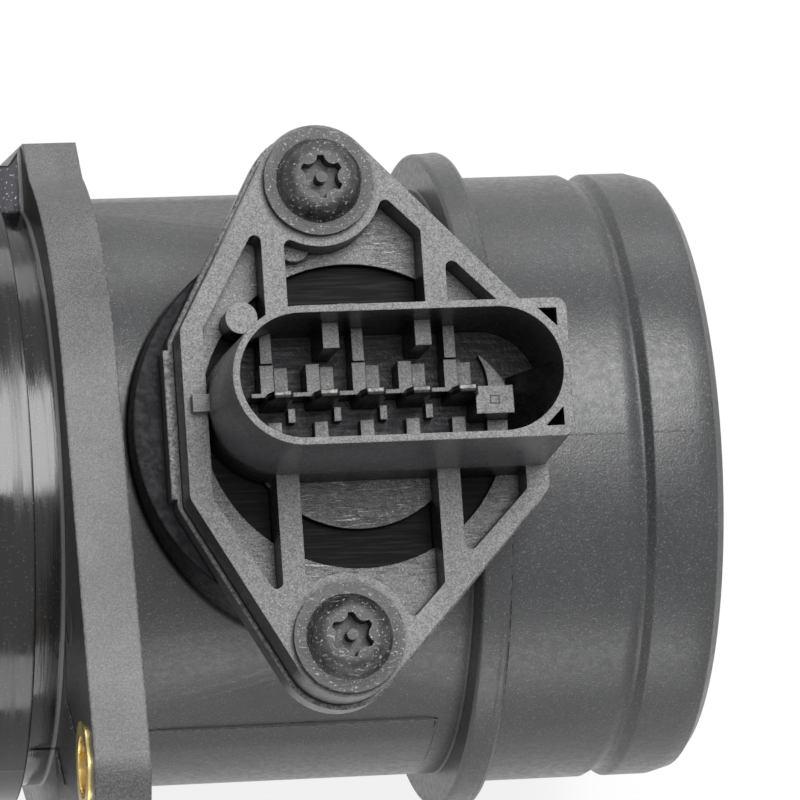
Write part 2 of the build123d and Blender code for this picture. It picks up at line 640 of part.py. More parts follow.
            Polyline(
                (SCREW_X + RAMP_FOOT, SOCKET_FLOOR),
                (SCREW_X + RAMP_TOP, SOCKET_FLOOR),
                (SCREW_X + RAMP_TOP, SOCKET_FLOOR + RAMP_RISE),
                close=True,
            )
        make_face()
    extrude(amount=RAMP_FRONT - RAMP_BACK)
    for x in TERMINAL_XS:
        with BuildSketch(Plane.XZ.offset(-TERMINAL_Y)):
            with BuildLine():
                Polyline(*terminal_profile(x), close=True)
            make_face()
        extrude(amount=TERMINAL_T / 2, both=True, mode=Mode.SUBTRACT)
    with BuildSketch(Plane.XY.offset(RIM_Z)):
        for side_y in (1, -1):
            corner = (SCREW_X + PLATE_RIGHT - CORNER_POCKET_WALL, SHROUD_Y + side_y * CORNER_POCKET_Y)
            with BuildLine():
                Polyline(
                    corner,
                    (corner[0] - CORNER_POCKET, corner[1]),
                    (corner[0], corner[1] - side_y * CORNER_POCKET),
                    close=True,
                )
            make_face()
    extrude(amount=-CORNER_POCKET_DEPTH, mode=Mode.SUBTRACT)
    with BuildSketch(Plane.XY.offset(POCKET_FLOOR)):
        with Locations((SCREW_X + SHROUD_LEFT - TAB_OUT, SHROUD_Y)):
            Rectangle(2 * TAB_SIZE[0], TAB_SIZE[1])
    extrude(amount=POCKET_DEPTH + TAB_SIZE[2])
sensor_housing.part.label = "sensor_housing"
export_step(sensor_housing.part, "parts/sensor_housing.step")

# Rubber ring between the plug and the saddle
with BuildPart() as plug_seal_ring:
    with BuildSketch(Plane.XZ):
        with Locations((PLUG_R - PLUG_GROOVE_DEPTH + PLUG_SEAL_R, PLUG_GROOVE_Z)):
            RegularPolygon(PLUG_SEAL_R, SEAL_SIDES, major_radius=False, rotation=180 / SEAL_SIDES)
    revolve(axis=Axis.Z)
plug_seal = plug_seal_ring.part.moved(Location((PLUG_X, 0, 0)))
plug_seal.label = "plug_seal_ring"
export_step(plug_seal, "parts/plug_seal_ring.step")

# Blade terminals, numbered from the inlet side
for number, x in enumerate(TERMINAL_XS, start=1):
    with BuildPart() as terminal:
        with BuildSketch(Plane.XZ.offset(-TERMINAL_Y)):
            with BuildLine():
                Polyline(*terminal_profile(x), close=True)
            make_face()
        extrude(amount=TERMINAL_T / 2, both=True)
    terminal.part.label = f"terminal_{number}"
    export_step(terminal.part, f"parts/terminal_{number}.step")

# Metal plate that carries the board and reaches into the bypass channel
with BuildPart() as carrier_plate:
    with BuildSketch(Plane.XZ.offset(-BOX_FLOOR_Y)):
        with Locations((PLUG_X, BOX_MIDDLE_Z)):
            Rectangle(2 * (BOX_HALF_X - COVER_FIT), BOX_TOP_Z - BOX_BOTTOM_Z - 2 * COVER_FIT)
        with Locations((PLUG_X + TONGUE_X, (TONGUE_END_Z + BOX_MIDDLE_Z) / 2)):
            Rectangle(TONGUE_W - 2 * COVER_FIT, BOX_MIDDLE_Z - TONGUE_END_Z)
    extrude(amount=-CARRIER_T)
carrier_plate.part.label = "carrier_plate"
export_step(carrier_plate.part, "parts/carrier_plate.step")

# Ceramic circuit board that the terminal legs lie on
with BuildPart() as circuit_board:
    with BuildSketch(Plane.XZ.offset(-BOX_FLOOR_Y - CARRIER_T)):
        with Locations((PLUG_X, BOX_MIDDLE_Z)):
            Rectangle(2 * (BOX_HALF_X - BOARD_MARGIN), BOX_TOP_Z - BOX_BOTTOM_Z - 2 * BOARD_MARGIN)
    extrude(amount=-BOARD_T)
circuit_board.part.label = "circuit_board"
export_step(circuit_board.part, "parts/circuit_board.step")

# Control chip on the board
with BuildPart() as control_chip:
    with BuildSketch(Plane.XZ.offset(-BOARD_FACE_Y)):
        with Locations((PLUG_X, CONTROL_CHIP_Z)):
            Rectangle(CONTROL_CHIP_W, CONTROL_CHIP_W)
    extrude(amount=-CONTROL_CHIP_T)
control_chip.part.label = "control_chip"
export_step(control_chip.part, "parts/control_chip.step")

# Thin film measuring element on the carrier's tongue
with BuildPart() as measuring_element:
    with BuildSketch(Plane.XZ.offset(-BOX_FLOOR_Y - CARRIER_T)):
        with Locations((PLUG_X + TONGUE_X, TONGUE_END_Z + ELEMENT_H / 2)):
            Rectangle(ELEMENT_W, ELEMENT_H)
    extrude(amount=-ELEMENT_T)
measuring_element.part.label = "measuring_element"
export_step(measuring_element.part, "parts/measuring_element.step")

# Covers over the electronics and over the bypass channel
COVERS = {
    "electronics_cover": (BOX_MIDDLE_Z, BOX_COVER_H),
    "bypass_cover": (BYPASS_MIDDLE_Z, BYPASS_COVER_H),
}
for cover_name, (middle_z, height) in COVERS.items():
    with BuildPart() as blade_cover:
        with BuildSketch(Plane.XZ.offset(-COVER_FACE_Y)):
            with Locations((PLUG_X, middle_z)):
                Rectangle(2 * (COVER_HALF_X - COVER_FIT), height - 2 * COVER_FIT)
        extrude(amount=-COVER_T)
    blade_cover.part.label = cover_name
    export_step(blade_cover.part, f"parts/{cover_name}.step")

# Air temperature probe: a bead on two wires across its recess
with BuildPart() as air_temperature_probe:
    with BuildSketch(Plane.XY.offset(PROBE_Z - PROBE_RECESS[1] / 2)):
        with Locations((PLUG_X + PROBE_X, PROBE_Y)):
            Circle(PROBE_WIRE_R)
    extrude(amount=PROBE_RECESS[1])
    with Locations((PLUG_X + PROBE_X, PROBE_Y, PROBE_Z)):
        Sphere(PROBE_R)
air_temperature_probe.part.label = "air_temperature_probe"
export_step(air_temperature_probe.part, "parts/air_temperature_probe.step")

# Tamper-proof screws with a domed head on a dished washer flange
SCREWS = {"rear_screw": (SCREW_SPOTS[0], 0), "front_screw": (SCREW_SPOTS[1], FRONT_SCREW_TURN)}
for screw_name, (spot, turn) in SCREWS.items():
    with BuildPart() as plate_screw:
        with BuildSketch(Plane.XZ):
            with BuildLine():
                Polyline(
                    (0, PLATE_TOP - SCREW_LENGTH),
                    (SCREW_R, PLATE_TOP - SCREW_LENGTH),
                    (SCREW_R, PLATE_TOP),
                    (WASHER_R, PLATE_TOP),
                    (WASHER_R, PLATE_TOP + WASHER_T),
                    (WASHER_DISH_R, PLATE_TOP + WASHER_T),
                    (HEAD_R + WASHER_DISH_W, PLATE_TOP + WASHER_T + WASHER_DISH_RISE),
                    (HEAD_R, PLATE_TOP + HEAD_FOOT),
                )
                ThreePointArc(
                    (HEAD_R, PLATE_TOP + HEAD_FOOT),
                    (HEAD_SHOULDER_R, PLATE_TOP + HEAD_SHOULDER_H),
                    (HEAD_TOP_R, PLATE_TOP + HEAD_H),
                )
                Polyline(
                    (HEAD_TOP_R, PLATE_TOP + HEAD_H),
                    (0, PLATE_TOP + HEAD_H),
                    (0, PLATE_TOP - SCREW_LENGTH),
                )
            make_face()
        revolve(axis=Axis.Z)
        with BuildSketch(Plane.XY.offset(PLATE_TOP + HEAD_H)):
            Circle(DRIVE_R)
            with PolarLocations(DRIVE_R, 6, start_angle=90):
                Circle(DRIVE_LOBE_R)
            Circle(DRIVE_PIN_R, mode=Mode.SUBTRACT)
        extrude(amount=-DRIVE_DEPTH, mode=Mode.SUBTRACT)
    screw = plate_screw.part.moved(Location((spot[0], spot[1], 0), (0, 0, turn)))
    screw.label = screw_name
    export_step(screw, f"parts/{screw_name}.step")
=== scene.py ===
"""Dresses a mass airflow sensor and its duct: plastics, metals, moulding marks, woven screen and studio.

The duct's axis is X, the connector points to +Z, and the origin lies in the flange's inlet face.
"""

import json
import math
import random

import bmesh
import bpy
from mathutils import Matrix, Vector


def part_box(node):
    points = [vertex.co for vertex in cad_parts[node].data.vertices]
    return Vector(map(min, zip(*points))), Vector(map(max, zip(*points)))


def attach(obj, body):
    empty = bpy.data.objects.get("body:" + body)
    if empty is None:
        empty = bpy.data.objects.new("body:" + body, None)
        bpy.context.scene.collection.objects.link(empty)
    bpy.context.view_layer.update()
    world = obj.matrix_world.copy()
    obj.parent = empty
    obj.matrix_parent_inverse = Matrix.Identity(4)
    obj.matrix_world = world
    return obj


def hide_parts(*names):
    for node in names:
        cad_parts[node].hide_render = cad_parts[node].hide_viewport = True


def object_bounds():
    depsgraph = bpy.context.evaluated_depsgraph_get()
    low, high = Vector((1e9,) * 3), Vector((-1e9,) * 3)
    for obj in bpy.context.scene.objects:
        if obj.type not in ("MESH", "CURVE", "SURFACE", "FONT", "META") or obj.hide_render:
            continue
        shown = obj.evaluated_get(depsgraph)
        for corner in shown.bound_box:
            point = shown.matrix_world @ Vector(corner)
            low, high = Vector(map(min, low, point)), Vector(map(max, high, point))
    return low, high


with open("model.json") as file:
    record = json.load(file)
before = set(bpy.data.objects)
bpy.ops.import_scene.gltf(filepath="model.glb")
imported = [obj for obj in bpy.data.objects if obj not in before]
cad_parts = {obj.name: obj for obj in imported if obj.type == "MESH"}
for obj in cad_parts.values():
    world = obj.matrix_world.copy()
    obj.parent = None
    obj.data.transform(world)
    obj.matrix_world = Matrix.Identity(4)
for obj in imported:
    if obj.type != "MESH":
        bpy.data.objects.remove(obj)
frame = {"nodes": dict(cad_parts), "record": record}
NODES = frame["nodes"]
CAD_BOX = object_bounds()

bl_info = {
    "name": "Airflow Sensor Dressing",
    "version": (1, 0, 0),
    "blender": (4, 5, 0),
    "location": "View3D > Sidebar > Airflow Sensor",
    "description": "Finishes, moulding marks and a studio for a mass airflow sensor",
    "category": "Object",
}

MM = 0.001
FACE_OUT = Vector((-1.0, 0.0, 0.0))

WHITE = (1.0, 1.0, 1.0, 1.0)
SEED = 7

# Forms of the CAD solids that the small details follow
CENTRE_R = 33.8 * MM
SPIGOT_R = 35.0 * MM
SCREEN_LOW, SCREEN_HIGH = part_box("wire_screen")
PLATE_TOP = 48.0 * MM
POCKET_FLOOR = 43.5 * MM
RECESS_FLOOR = 39.9 * MM
SADDLE_LOW = 38.8 * MM
SADDLE_TOP = 42.0 * MM
PAD_FRONT = 8.0 * MM
BOSS_LOW = 24.0 * MM
FLANGE_T = 6.06 * MM
MARK_DEPTH = 0.45 * MM
BOSS_X = 29.1 * MM
BOSS_R = 22.0 * MM
PLUG_X = 30.7 * MM
DISC_R = 12.7 * MM
SOCKET_X = 32.7 * MM
SOCKET_Y = 0.95 * MM
SOCKET_STRAIGHT = 10.7 * MM
SOCKET_R = 7.1 * MM
SOCKET_FLOOR = 49.4 * MM
TIP_LOW = 55.6 * MM
TOWER_TOP = Vector((44.0, -0.9, 55.0)) * MM

# Hose bead as (x, radius) in mm: on the CAD solid, and the narrower ring of the photograph
BEAD_SOLID = ((44.1, 33.8), (45.0, 36.6), (45.2, 37.0), (45.6, 37.5), (46.2, 37.9),
              (47.6, 38.2), (49.3, 37.5), (50.0, 36.6), (51.7, 35.0))
BEAD_SHOWN = ((45.48, 33.8), (45.5, 37.5), (45.6, 37.62), (45.8, 37.85), (46.0, 37.9),
              (46.9, 37.9), (47.9, 37.9), (48.3, 37.5), (48.8, 35.0))
GROOVE_SOLID = ((64.4, 34.2), (65.6, 34.2), (65.6, 35.0))
GROOVE_SHOWN = ((64.2, 34.2), (64.8, 34.2), (65.8, 35.0))

# Flange, neck, lower key, screw posts and recess in mm: on the CAD solids, and as the photograph shows them
FLANGE_BACK = 6.1
RIM_R, RIM_SHOWN_R = 40.8, 37.6
FLAT_Y, FLAT_SHOWN_Y = 37.0, 38.2
FLAT_HALF, FLAT_SHOWN_HALF = 17.2, 13.8
NECK_FRONT = -3.6
NECK_R, NECK_SHOWN_R, NECK_SUNK_R = 36.0, 33.0, 32.6
NECK_SLACK = 0.02
KEY_HALF = 12.5
KEY_LOW, KEY_MIDDLE = -32.5, -5.0
KEY_SUNK_R = 34.0
KEY_ANGLE = math.radians(20.8)
INLET_R, WALL_R = 35.4, 31.8
KEY_FRONT = -7.05
PAD_X, PAD_SHOWN_X = 9.6, 10.4
POST_X, POST_Y, POST_TOP, POST_LOW = 27.6, 25.0, 38.8, 10.0
POST_R, POST_SHOWN_R, POST_FOOT_R = 6.0, 5.8, 4.6
POST_LEAN, POST_LENGTH = 3.5, 24.0
TUBE_R = 33.8
DRIVE_FLOOR = 49.0
DRIVE_LOW, DRIVE_HIGH = 1.65, 2.35
DRIVE_SHOWN_R = 2.4
FLUTE_R, FLUTE_PLACE = 1.0, 2.75
LOBE_TURN = math.radians(60.0)
FIRST_LOBE = math.radians(90.0)
NEAR = 0.12
WELD = 0.0005 * MM
SHARP_ANGLE = math.radians(32.0)

# Marks on the flange face, in mm: ejector pin ring, thin rib, and lines of flash with their number of flakes
PIN_MARK, PIN_MARK_R = (0.0, -19.3, 30.05), 2.45 * MM
THIN_RIB = ((0.0, -21.2, 25.6), (0.0, -24.3, 24.5), (0.0, -27.4, 23.3))
FLASH_LINES = (((0.0, -27.6, 25.4), (0.0, -31.6, 30.2), 9), ((0.0, -31.0, 14.0), (0.0, -35.6, 18.6), 12))
FLAKE_REACH, FLAKE_LIFT = (0.15, 0.75), (0.1, 0.35)
FLAKE_JITTER, FLAKE_OVERLAP = 0.2, 1.1
FLAKE_SUNK, FLAKE_PROUD = 0.05 * MM, 0.08 * MM
FRAME_HALF_X, FRAME_HALF_Y = 0.48 * MM, 0.4 * MM
WEAVE_SHARE = 0.8

# The photograph's camera, in the part's frame
CAMERA_PLACE = Vector((-83.3, -116.1, 673.9)) * MM
CAMERA_YAW = math.radians(10.704)
CAMERA_PITCH = math.radians(10.390)
CAMERA_ROLL = math.radians(4.003)
CAMERA_LENS = 270.0
CAMERA_SENSOR = 36.0
CAMERA_CLIP = (0.01, 10.0)

# Lamps as name, power setting, place and size in metres, all turned to LAMP_AIM
LAMP_AIM = Vector((0.03, 0.0, 0.03))
LAMPS = (
    ("overhead_lamp", "key_power", (0.21, 0.31, 0.96), (0.42, 1.0)),
    ("rear_lamp", "rear_power", (0.05, 0.9, 0.06), (1.0, 0.4)),
    ("front_lamp", "front_power", (0.0, -0.9, 0.14), (1.0, 0.4)),
)
FLOOR_HALF = 3.0
FLOOR_GAP = 0.2 * MM
FLOOR_GLOW = 0.85


def add(tree, kind, inputs=None, **settings):
    """Adds a shader node, with settings as properties and inputs as values or links by socket name."""
    made = tree.nodes.new("ShaderNode" + kind)
    for key, value in settings.items():
        setattr(made, key, value)
    for key, value in (inputs or {}).items():
        if isinstance(value, bpy.types.NodeSocket):
            tree.links.new(value, made.inputs[key])
        else:
            made.inputs[key].default_value = value
    return made


def noise(tree, where, scale, detail=3.0, roughness=0.55):
    """Cloudy values from 0 to 1."""
    made = add(tree, "TexNoise", {"Vector": where, "Scale": scale, "Detail": detail, "Roughness": roughness})
    return made.outputs["Fac"]


def band(tree, value, low, high, to_low=0.0, to_high=1.0):
    """Smooth step of a value from one range to another."""
    inputs = {"Value": value, "From Min": low, "From Max": high, "To Min": to_low, "To Max": to_high}
    return add(tree, "MapRange", inputs, interpolation_type="SMOOTHSTEP").outputs["Result"]


def sums(tree, operation, first, second):
    """Result of one maths step on two values or sockets."""
    return add(tree, "Math", {0: first, 1: second}, operation=operation).outputs[0]


def mixed(tree, factor, first, second):
    """Colour between two colours."""
    return add(tree, "Mix", {0: factor, 6: first, 7: second}, data_type="RGBA").outputs[2]


def stretched(tree, where, scale, turn=0.0):
    """The same place, stretched along the axes after a turn about Z."""
    inputs = {"Vector": where, "Rotation": (0.0, 0.0, turn), "Scale": scale}
    return add(tree, "Mapping", inputs).outputs["Vector"]


def paint(name, share=1.0):
    """A colour of the settings, lighter or darker by a share."""
    red, green, blue = getattr(bpy.context.scene.airflow_colours, name)
    return (red * share, green * share, blue * share, 1.0)


class Finish:
    """A node material in the making, with the handles that its recipe needs."""

    def __init__(self, name):
        self.material = bpy.data.materials.new(name)
        self.material.use_nodes = True
        self.tree = self.material.node_tree
        self.shader = self.tree.nodes["Principled BSDF"]
        self.place = add(self.tree, "TexCoord").outputs["Object"]
        self.axes = add(self.tree, "SeparateXYZ", {0: self.place}).outputs
        self.soft_normal = None

    def set(self, **values):
        """Writes constants or links sockets on the shader."""
        for key, value in values.items():
            socket = self.shader.inputs[key.replace("_", " ")]
            if isinstance(value, bpy.types.NodeSocket):
                self.tree.links.new(value, socket)
            else:
                socket.default_value = value

    def round_edges(self, radius):
        """Normals that turn over moulded or rolled edges."""
        self.soft_normal = add(self.tree, "Bevel", {"Radius": radius}, samples=6).outputs["Normal"]
        return self.soft_normal

    def edge_wear(self, radius, low=0.985, high=0.8):
        """1 on the edges, where the rounded normal leaves the face's own."""
        bent = add(self.tree, "Bevel", {"Radius": radius}, samples=6).outputs["Normal"]
        own = add(self.tree, "NewGeometry").outputs["Normal"]
        match = add(self.tree, "VectorMath", {0: bent, 1: own}, operation="DOT_PRODUCT").outputs["Value"]
        return band(self.tree, match, low, high)

    def bump(self, height, depth, strength=1.0):
        """Surface relief of the given depth on top of the rounded edges."""
        inputs = {"Height": height, "Distance": depth, "Strength": strength}
        if self.soft_normal:
            inputs["Normal"] = self.soft_normal
        self.set(Normal=add(self.tree, "Bump", inputs).outputs["Normal"])


def upward(finish, low=0.7, high=0.95):
    """1 on faces that look up, 0 on walls."""
    normal = add(finish.tree, "NewGeometry").outputs["Normal"]
    return band(finish.tree, add(finish.tree, "SeparateXYZ", {0: normal}).outputs["Z"], low, high)


def times(tree, *values):
    """Product of values."""
    product = values[0]
    for value in values[1:]:
        product = sums(tree, "MULTIPLY", product, value)
    return product


def value_mix(tree, factor, first, second):
    """Number between two numbers."""
    return add(tree, "Mix", {0: factor, 2: first, 3: second}, data_type="FLOAT").outputs[0]


def between(tree, value, low, high, blur=0.1 * MM):
    """1 where a value lies between two limits."""
    return times(tree, band(tree, value, low - blur, low + blur), band(tree, value, high + blur, high - blur))


def distance_from_axis(finish, x, y=0.0, straight=0.0):
    """Distance from an upright axis, or from an upright wall of the given half length along X."""
    tree = finish.tree
    aside = sums(tree, "ABSOLUTE", sums(tree, "SUBTRACT", finish.axes["X"], x), 0.0)
    beyond = sums(tree, "MAXIMUM", sums(tree, "SUBTRACT", aside, straight), 0.0)
    across = sums(tree, "SUBTRACT", finish.axes["Y"], y)
    flat = add(tree, "CombineXYZ", {0: beyond, 1: across}).outputs[0]
    return add(tree, "VectorMath", {0: flat}, operation="LENGTH").outputs["Value"]


def painted_corner_shade(finish, reach=1.6 * MM, low=0.35, high=0.8):
    """Painted shade in corners and creases, from an ambient occlusion node: 1 in the open, 0 where the
    painted shade is full.
    """
    open_share = add(finish.tree, "AmbientOcclusion", {"Distance": reach}, samples=6).outputs["AO"]
    return band(finish.tree, open_share, low, high)


def speckled(finish, name, low, high, size=0.19 * MM):
    """A colour of the settings broken up by the glass fibre grain of a moulded face."""
    fleck = noise(finish.tree, finish.place, 1.0 / size, 2.0, 0.6)
    return mixed(finish.tree, band(finish.tree, fleck, 0.34, 0.66), paint(name, low), paint(name, high))


def blotchy(finish, cloud, name, darker, lighter):
    """A speckled colour of the settings that drifts between a darker and a lighter range."""
    drift = band(finish.tree, cloud, 0.35, 0.65)
    return mixed(finish.tree, drift, speckled(finish, name, *darker), speckled(finish, name, *lighter))


def sparkle(finish, size=0.2 * MM, low=0.6, high=0.72):
    """Sparse bright fibre ends."""
    return band(finish.tree, noise(finish.tree, finish.place, 1.0 / size, 1.0, 0.5), low, high)


def duct_plastic():
    """The duct's moulded plastic: matt tube, paler flange rim, glossy inlet spigot and saddle boss, with
    painted shade in corners, on the boss and on the inlet key's top, and a painted highlight on the saddle
    pad.
    """
    made = Finish("duct_plastic_finish")
    tree = made.tree
    x, z = made.axes["X"], made.axes["Z"]
    mottle = noise(tree, made.place, 1300.0, 3.0, 0.6)
    cloud = noise(tree, made.place, 95.0, 4.0)
    scratch = noise(tree, stretched(tree, made.place, (90.0, 1900.0, 1900.0)), 1.0, 4.0, 0.7)
    up = upward(made, 0.9, 0.97)

    inlet = band(tree, x, -MARK_DEPTH, -MARK_DEPTH - 0.15 * MM)
    raised = between(tree, x, -MARK_DEPTH, -0.06 * MM, 0.03 * MM)
    beside = band(tree, sums(tree, "ABSOLUTE", made.axes["Y"], 0.0), 29.0 * MM, 30.0 * MM)
    key = times(tree, inlet, up, beside)
    inlet_sparkle = times(tree, sparkle(made, 0.3 * MM, 0.64, 0.74), inlet, 0.15)
    flange = between(tree, x, 0.08 * MM, FLANGE_T, 0.03 * MM)
    reach = distance_from_axis(made, BOSS_X)
    boss = times(tree, band(tree, reach, BOSS_R + 0.6 * MM, BOSS_R + 0.1 * MM),
                 between(tree, z, BOSS_LOW, SADDLE_LOW + 0.2 * MM))
    pad = times(tree, up, band(tree, x, PAD_FRONT, PAD_FRONT + MM),
                band(tree, z, SADDLE_TOP - 0.3 * MM, SADDLE_TOP - 0.1 * MM))
    gloss = sums(tree, "MAXIMUM", inlet, boss)

    matt = speckled(made, "duct", 0.72, 1.3)
    patchy = mixed(tree, band(tree, cloud, 0.38, 0.62), paint("duct", 0.75), matt)
    pale = blotchy(made, cloud, "flange", (0.5, 1.2), (0.85, 1.65))
    body = mixed(tree, flange, mixed(tree, 0.55, matt, patchy), pale)
    # Painted highlight: the saddle pad's upward face takes the sensor's pale plate speckle.
    padded = mixed(tree, pad, body, speckled(made, "plate", 0.1, 2.2, 0.34 * MM))
    sparkling = mixed(tree, times(tree, sparkle(made), 0.3), padded, paint("worn"))
    marks = times(tree, band(tree, scratch, 0.66, 0.76), band(tree, cloud, 0.45, 0.6))
    scratched = mixed(tree, times(tree, marks, 0.3), sparkling, paint("worn", 0.7))
    rubbed = times(tree, made.edge_wear(0.35 * MM, 0.98, 0.75), band(tree, mottle, 0.45, 0.6))
    worn = mixed(tree, times(tree, rubbed, 0.7), scratched, paint("worn", 1.2))
    # Painted shade: corners and creases darken towards the glossy plastic's near-black colour.
    duct_corner_shaded = mixed(tree, painted_corner_shade(made), paint("gloss", 0.6), worn)
    dusty = mixed(tree, inlet_sparkle, paint("gloss"), paint("worn"))
    made.set(Base_Color=mixed(tree, raised, mixed(tree, gloss, duct_corner_shaded, dusty), paint("worn", 0.7)))
    # Painted shade: metallic with the near-black colour takes the reflections off the inlet's upward side
    # faces and off the saddle boss.
    made.set(Metallic=times(tree, sums(tree, "MAXIMUM", key, boss), 0.92))

    rough = value_mix(tree, flange, band(tree, mottle, 0.3, 0.7, 0.28, 0.4), 0.46)
    streaks = noise(tree, stretched(tree, made.place, (1100.0, 50.0, 50.0)), 1.0, 4.0, 0.72)
    shiny = band(tree, streaks, 0.35, 0.7, 0.08, 0.26)
    glossy = value_mix(tree, boss, shiny, band(tree, mottle, 0.3, 0.7, 0.34, 0.5))
    made.set(Roughness=value_mix(tree, gloss, rough, glossy), IOR=1.5, Specular_IOR_Level=0.44)
    made.round_edges(0.45 * MM)
    relief = sums(tree, "ADD", noise(tree, made.place, 3800.0, 2.0, 0.6), mottle)
    made.bump(value_mix(tree, gloss, relief, times(tree, streaks, 0.8)), 0.03 * MM, 0.8)
    return made.material


def sensor_plastic():
    """The plug-in unit's plastic: upper faces painted pale as a painted highlight, walls painted near black
    as painted shade, painted shade in corners and under the shroud, a near-black recess and socket partly
    painted shade, and smears with painted sheen.
    """
    made = Finish("sensor_plastic_finish")
    tree = made.tree
    z = made.axes["Z"]
    mottle = noise(tree, made.place, 1500.0, 3.0, 0.6)
    cloud = noise(tree, made.place, 120.0, 4.0)
    up = upward(made)

    from_socket = distance_from_axis(made, SOCKET_X, SOCKET_Y, SOCKET_STRAIGHT)
    in_socket = band(tree, from_socket, SOCKET_R, SOCKET_R - 0.1 * MM)
    above_plate = band(tree, z, PLATE_TOP + 0.1 * MM, PLATE_TOP + 0.3 * MM)
    rib_tops = times(tree, up, band(tree, z, SOCKET_FLOOR + 0.2 * MM, SOCKET_FLOOR + 0.4 * MM))
    socket = times(tree, in_socket, above_plate, sums(tree, "SUBTRACT", 1.0, rib_tops))
    outer_wall = times(tree, above_plate, sums(tree, "SUBTRACT", 1.0, in_socket))
    top = times(tree, up, band(tree, z, PLATE_TOP - 0.3 * MM, PLATE_TOP - 0.1 * MM))
    floor = times(tree, up, between(tree, z, POCKET_FLOOR - 0.3 * MM, POCKET_FLOOR + 2.2 * MM))
    # Painted shade under the shroud: the disc of pocket floor round the plug's axis.
    disc = times(tree, floor, band(tree, distance_from_axis(made, PLUG_X), DISC_R, DISC_R - 0.2 * MM))
    recess = between(tree, z, RECESS_FLOOR - 0.8 * MM, POCKET_FLOOR - 0.5 * MM)

    strokes = noise(tree, stretched(tree, made.place, (260.0, 2400.0, 900.0), 0.7), 1.0, 4.0, 0.65)
    smears = times(tree, band(tree, strokes, 0.5, 0.64), band(tree, cloud, 0.42, 0.58), floor)
    brushed = noise(tree, stretched(tree, made.place, (160.0, 3600.0, 900.0)), 1.0, 3.0, 0.7)

    # Painted light: one plastic in lit and shaded copies, the pale plate colour on faces that look up, the
    # near-black wall colour on walls, and a lighter shroud outer wall.
    wall = speckled(made, "wall", 0.7, 1.4)
    shroud = blotchy(made, cloud, "wall", (2.0, 3.8), (2.8, 5.4))
    pale = blotchy(made, cloud, "plate", (0.5, 1.35), (0.65, 1.65))
    dull = blotchy(made, mottle, "plate", (0.16, 0.8), (0.4, 1.7))
    # Painted shade: a darker plate colour for the pocket floor under the shroud.
    shade_under_shroud = speckled(made, "plate", 0.16, 0.55)
    sides = mixed(tree, outer_wall, wall, shroud)
    body = mixed(tree, disc, mixed(tree, floor, mixed(tree, top, sides, pale), dull), shade_under_shroud)
    # Fibre flecks, five times stronger on faces that look up: painted glints.
    faces_up = sums(tree, "MAXIMUM", top, floor)
    flecked = times(tree, sparkle(made), value_mix(tree, faces_up, 0.12, 0.6))
    sparkling = mixed(tree, flecked, body, paint("worn", 1.3))
    # Smears on the pocket floors: real marks of lower roughness, painted lighter as painted sheen.
    smears_and_sheen = mixed(tree, times(tree, smears, 0.6), sparkling, paint("worn", 1.2))
    rubbed = times(tree, made.edge_wear(0.25 * MM, 0.98, 0.78), band(tree, mottle, 0.35, 0.6))
    worn = mixed(tree, times(tree, rubbed, 0.6), smears_and_sheen, paint("worn", 1.3))
    # Painted shade: corners and creases darken towards a near-black wall colour.
    sensor_corner_shaded = mixed(tree, painted_corner_shade(made, 1.2 * MM), paint("wall", 0.3), worn)
    # Recess and socket painted near black: the socket's darkness is painted shade, the recess's is partly a
    # darker material and partly painted shade.
    lined = mixed(tree, band(tree, brushed, 0.4, 0.7), paint("wall", 0.3), paint("wall", 0.9))
    dusky = mixed(tree, band(tree, brushed, 0.4, 0.7), paint("wall", 0.8), paint("wall", 2.0))
    hollow = sums(tree, "MAXIMUM", recess, socket)
    made.set(Base_Color=mixed(tree, hollow, sensor_corner_shaded, mixed(tree, socket, lined, dusky)))
    # Metallic with the near-black colour takes the reflections off the recess and the socket, most on the
    # socket floor: painted shade.
    socket_dull = times(tree, socket, value_mix(tree, up, 0.3, 0.86))
    made.set(Metallic=sums(tree, "MAXIMUM", times(tree, recess, 0.85), socket_dull))

    rough_wall = band(tree, mottle, 0.3, 0.7, 0.26, 0.38)
    rough_top = band(tree, mottle, 0.3, 0.7, 0.42, 0.56)
    rough_floor = value_mix(tree, smears, band(tree, mottle, 0.3, 0.7, 0.34, 0.5), 0.2)
    rough = value_mix(tree, floor, value_mix(tree, top, rough_wall, rough_top), rough_floor)
    made.set(Roughness=value_mix(tree, recess, rough, 0.6), IOR=1.5, Specular_IOR_Level=0.38)
    made.round_edges(0.2 * MM)
    relief = sums(tree, "ADD", noise(tree, made.place, 3800.0, 2.0, 0.6), mottle)
    rugged = sums(tree, "ADD", relief, times(tree, smears, 1.2))
    made.bump(value_mix(tree, faces_up, times(tree, relief, 0.25), rugged), 0.05 * MM, 0.9)
    return made.material


def turned_brass():
    """Dull yellow brass with fine turning lines and brown stains."""
    made = Finish("turned_brass_finish")
    tree, place = made.tree, made.place
    stain = noise(tree, place, 500.0, 4.0)
    lines = noise(tree, stretched(tree, place, (9000.0, 250.0, 250.0)), 1.0, 2.0)
    colour = mixed(tree, band(tree, stain, 0.4, 0.75), paint("brass"), paint("brass", 0.6))
    made.set(Base_Color=colour, Metallic=1.0, Roughness=band(tree, stain, 0.3, 0.7, 0.22, 0.42))
    made.round_edges(0.3 * MM)
    made.bump(lines, 0.01 * MM, 0.6)
    return made.material


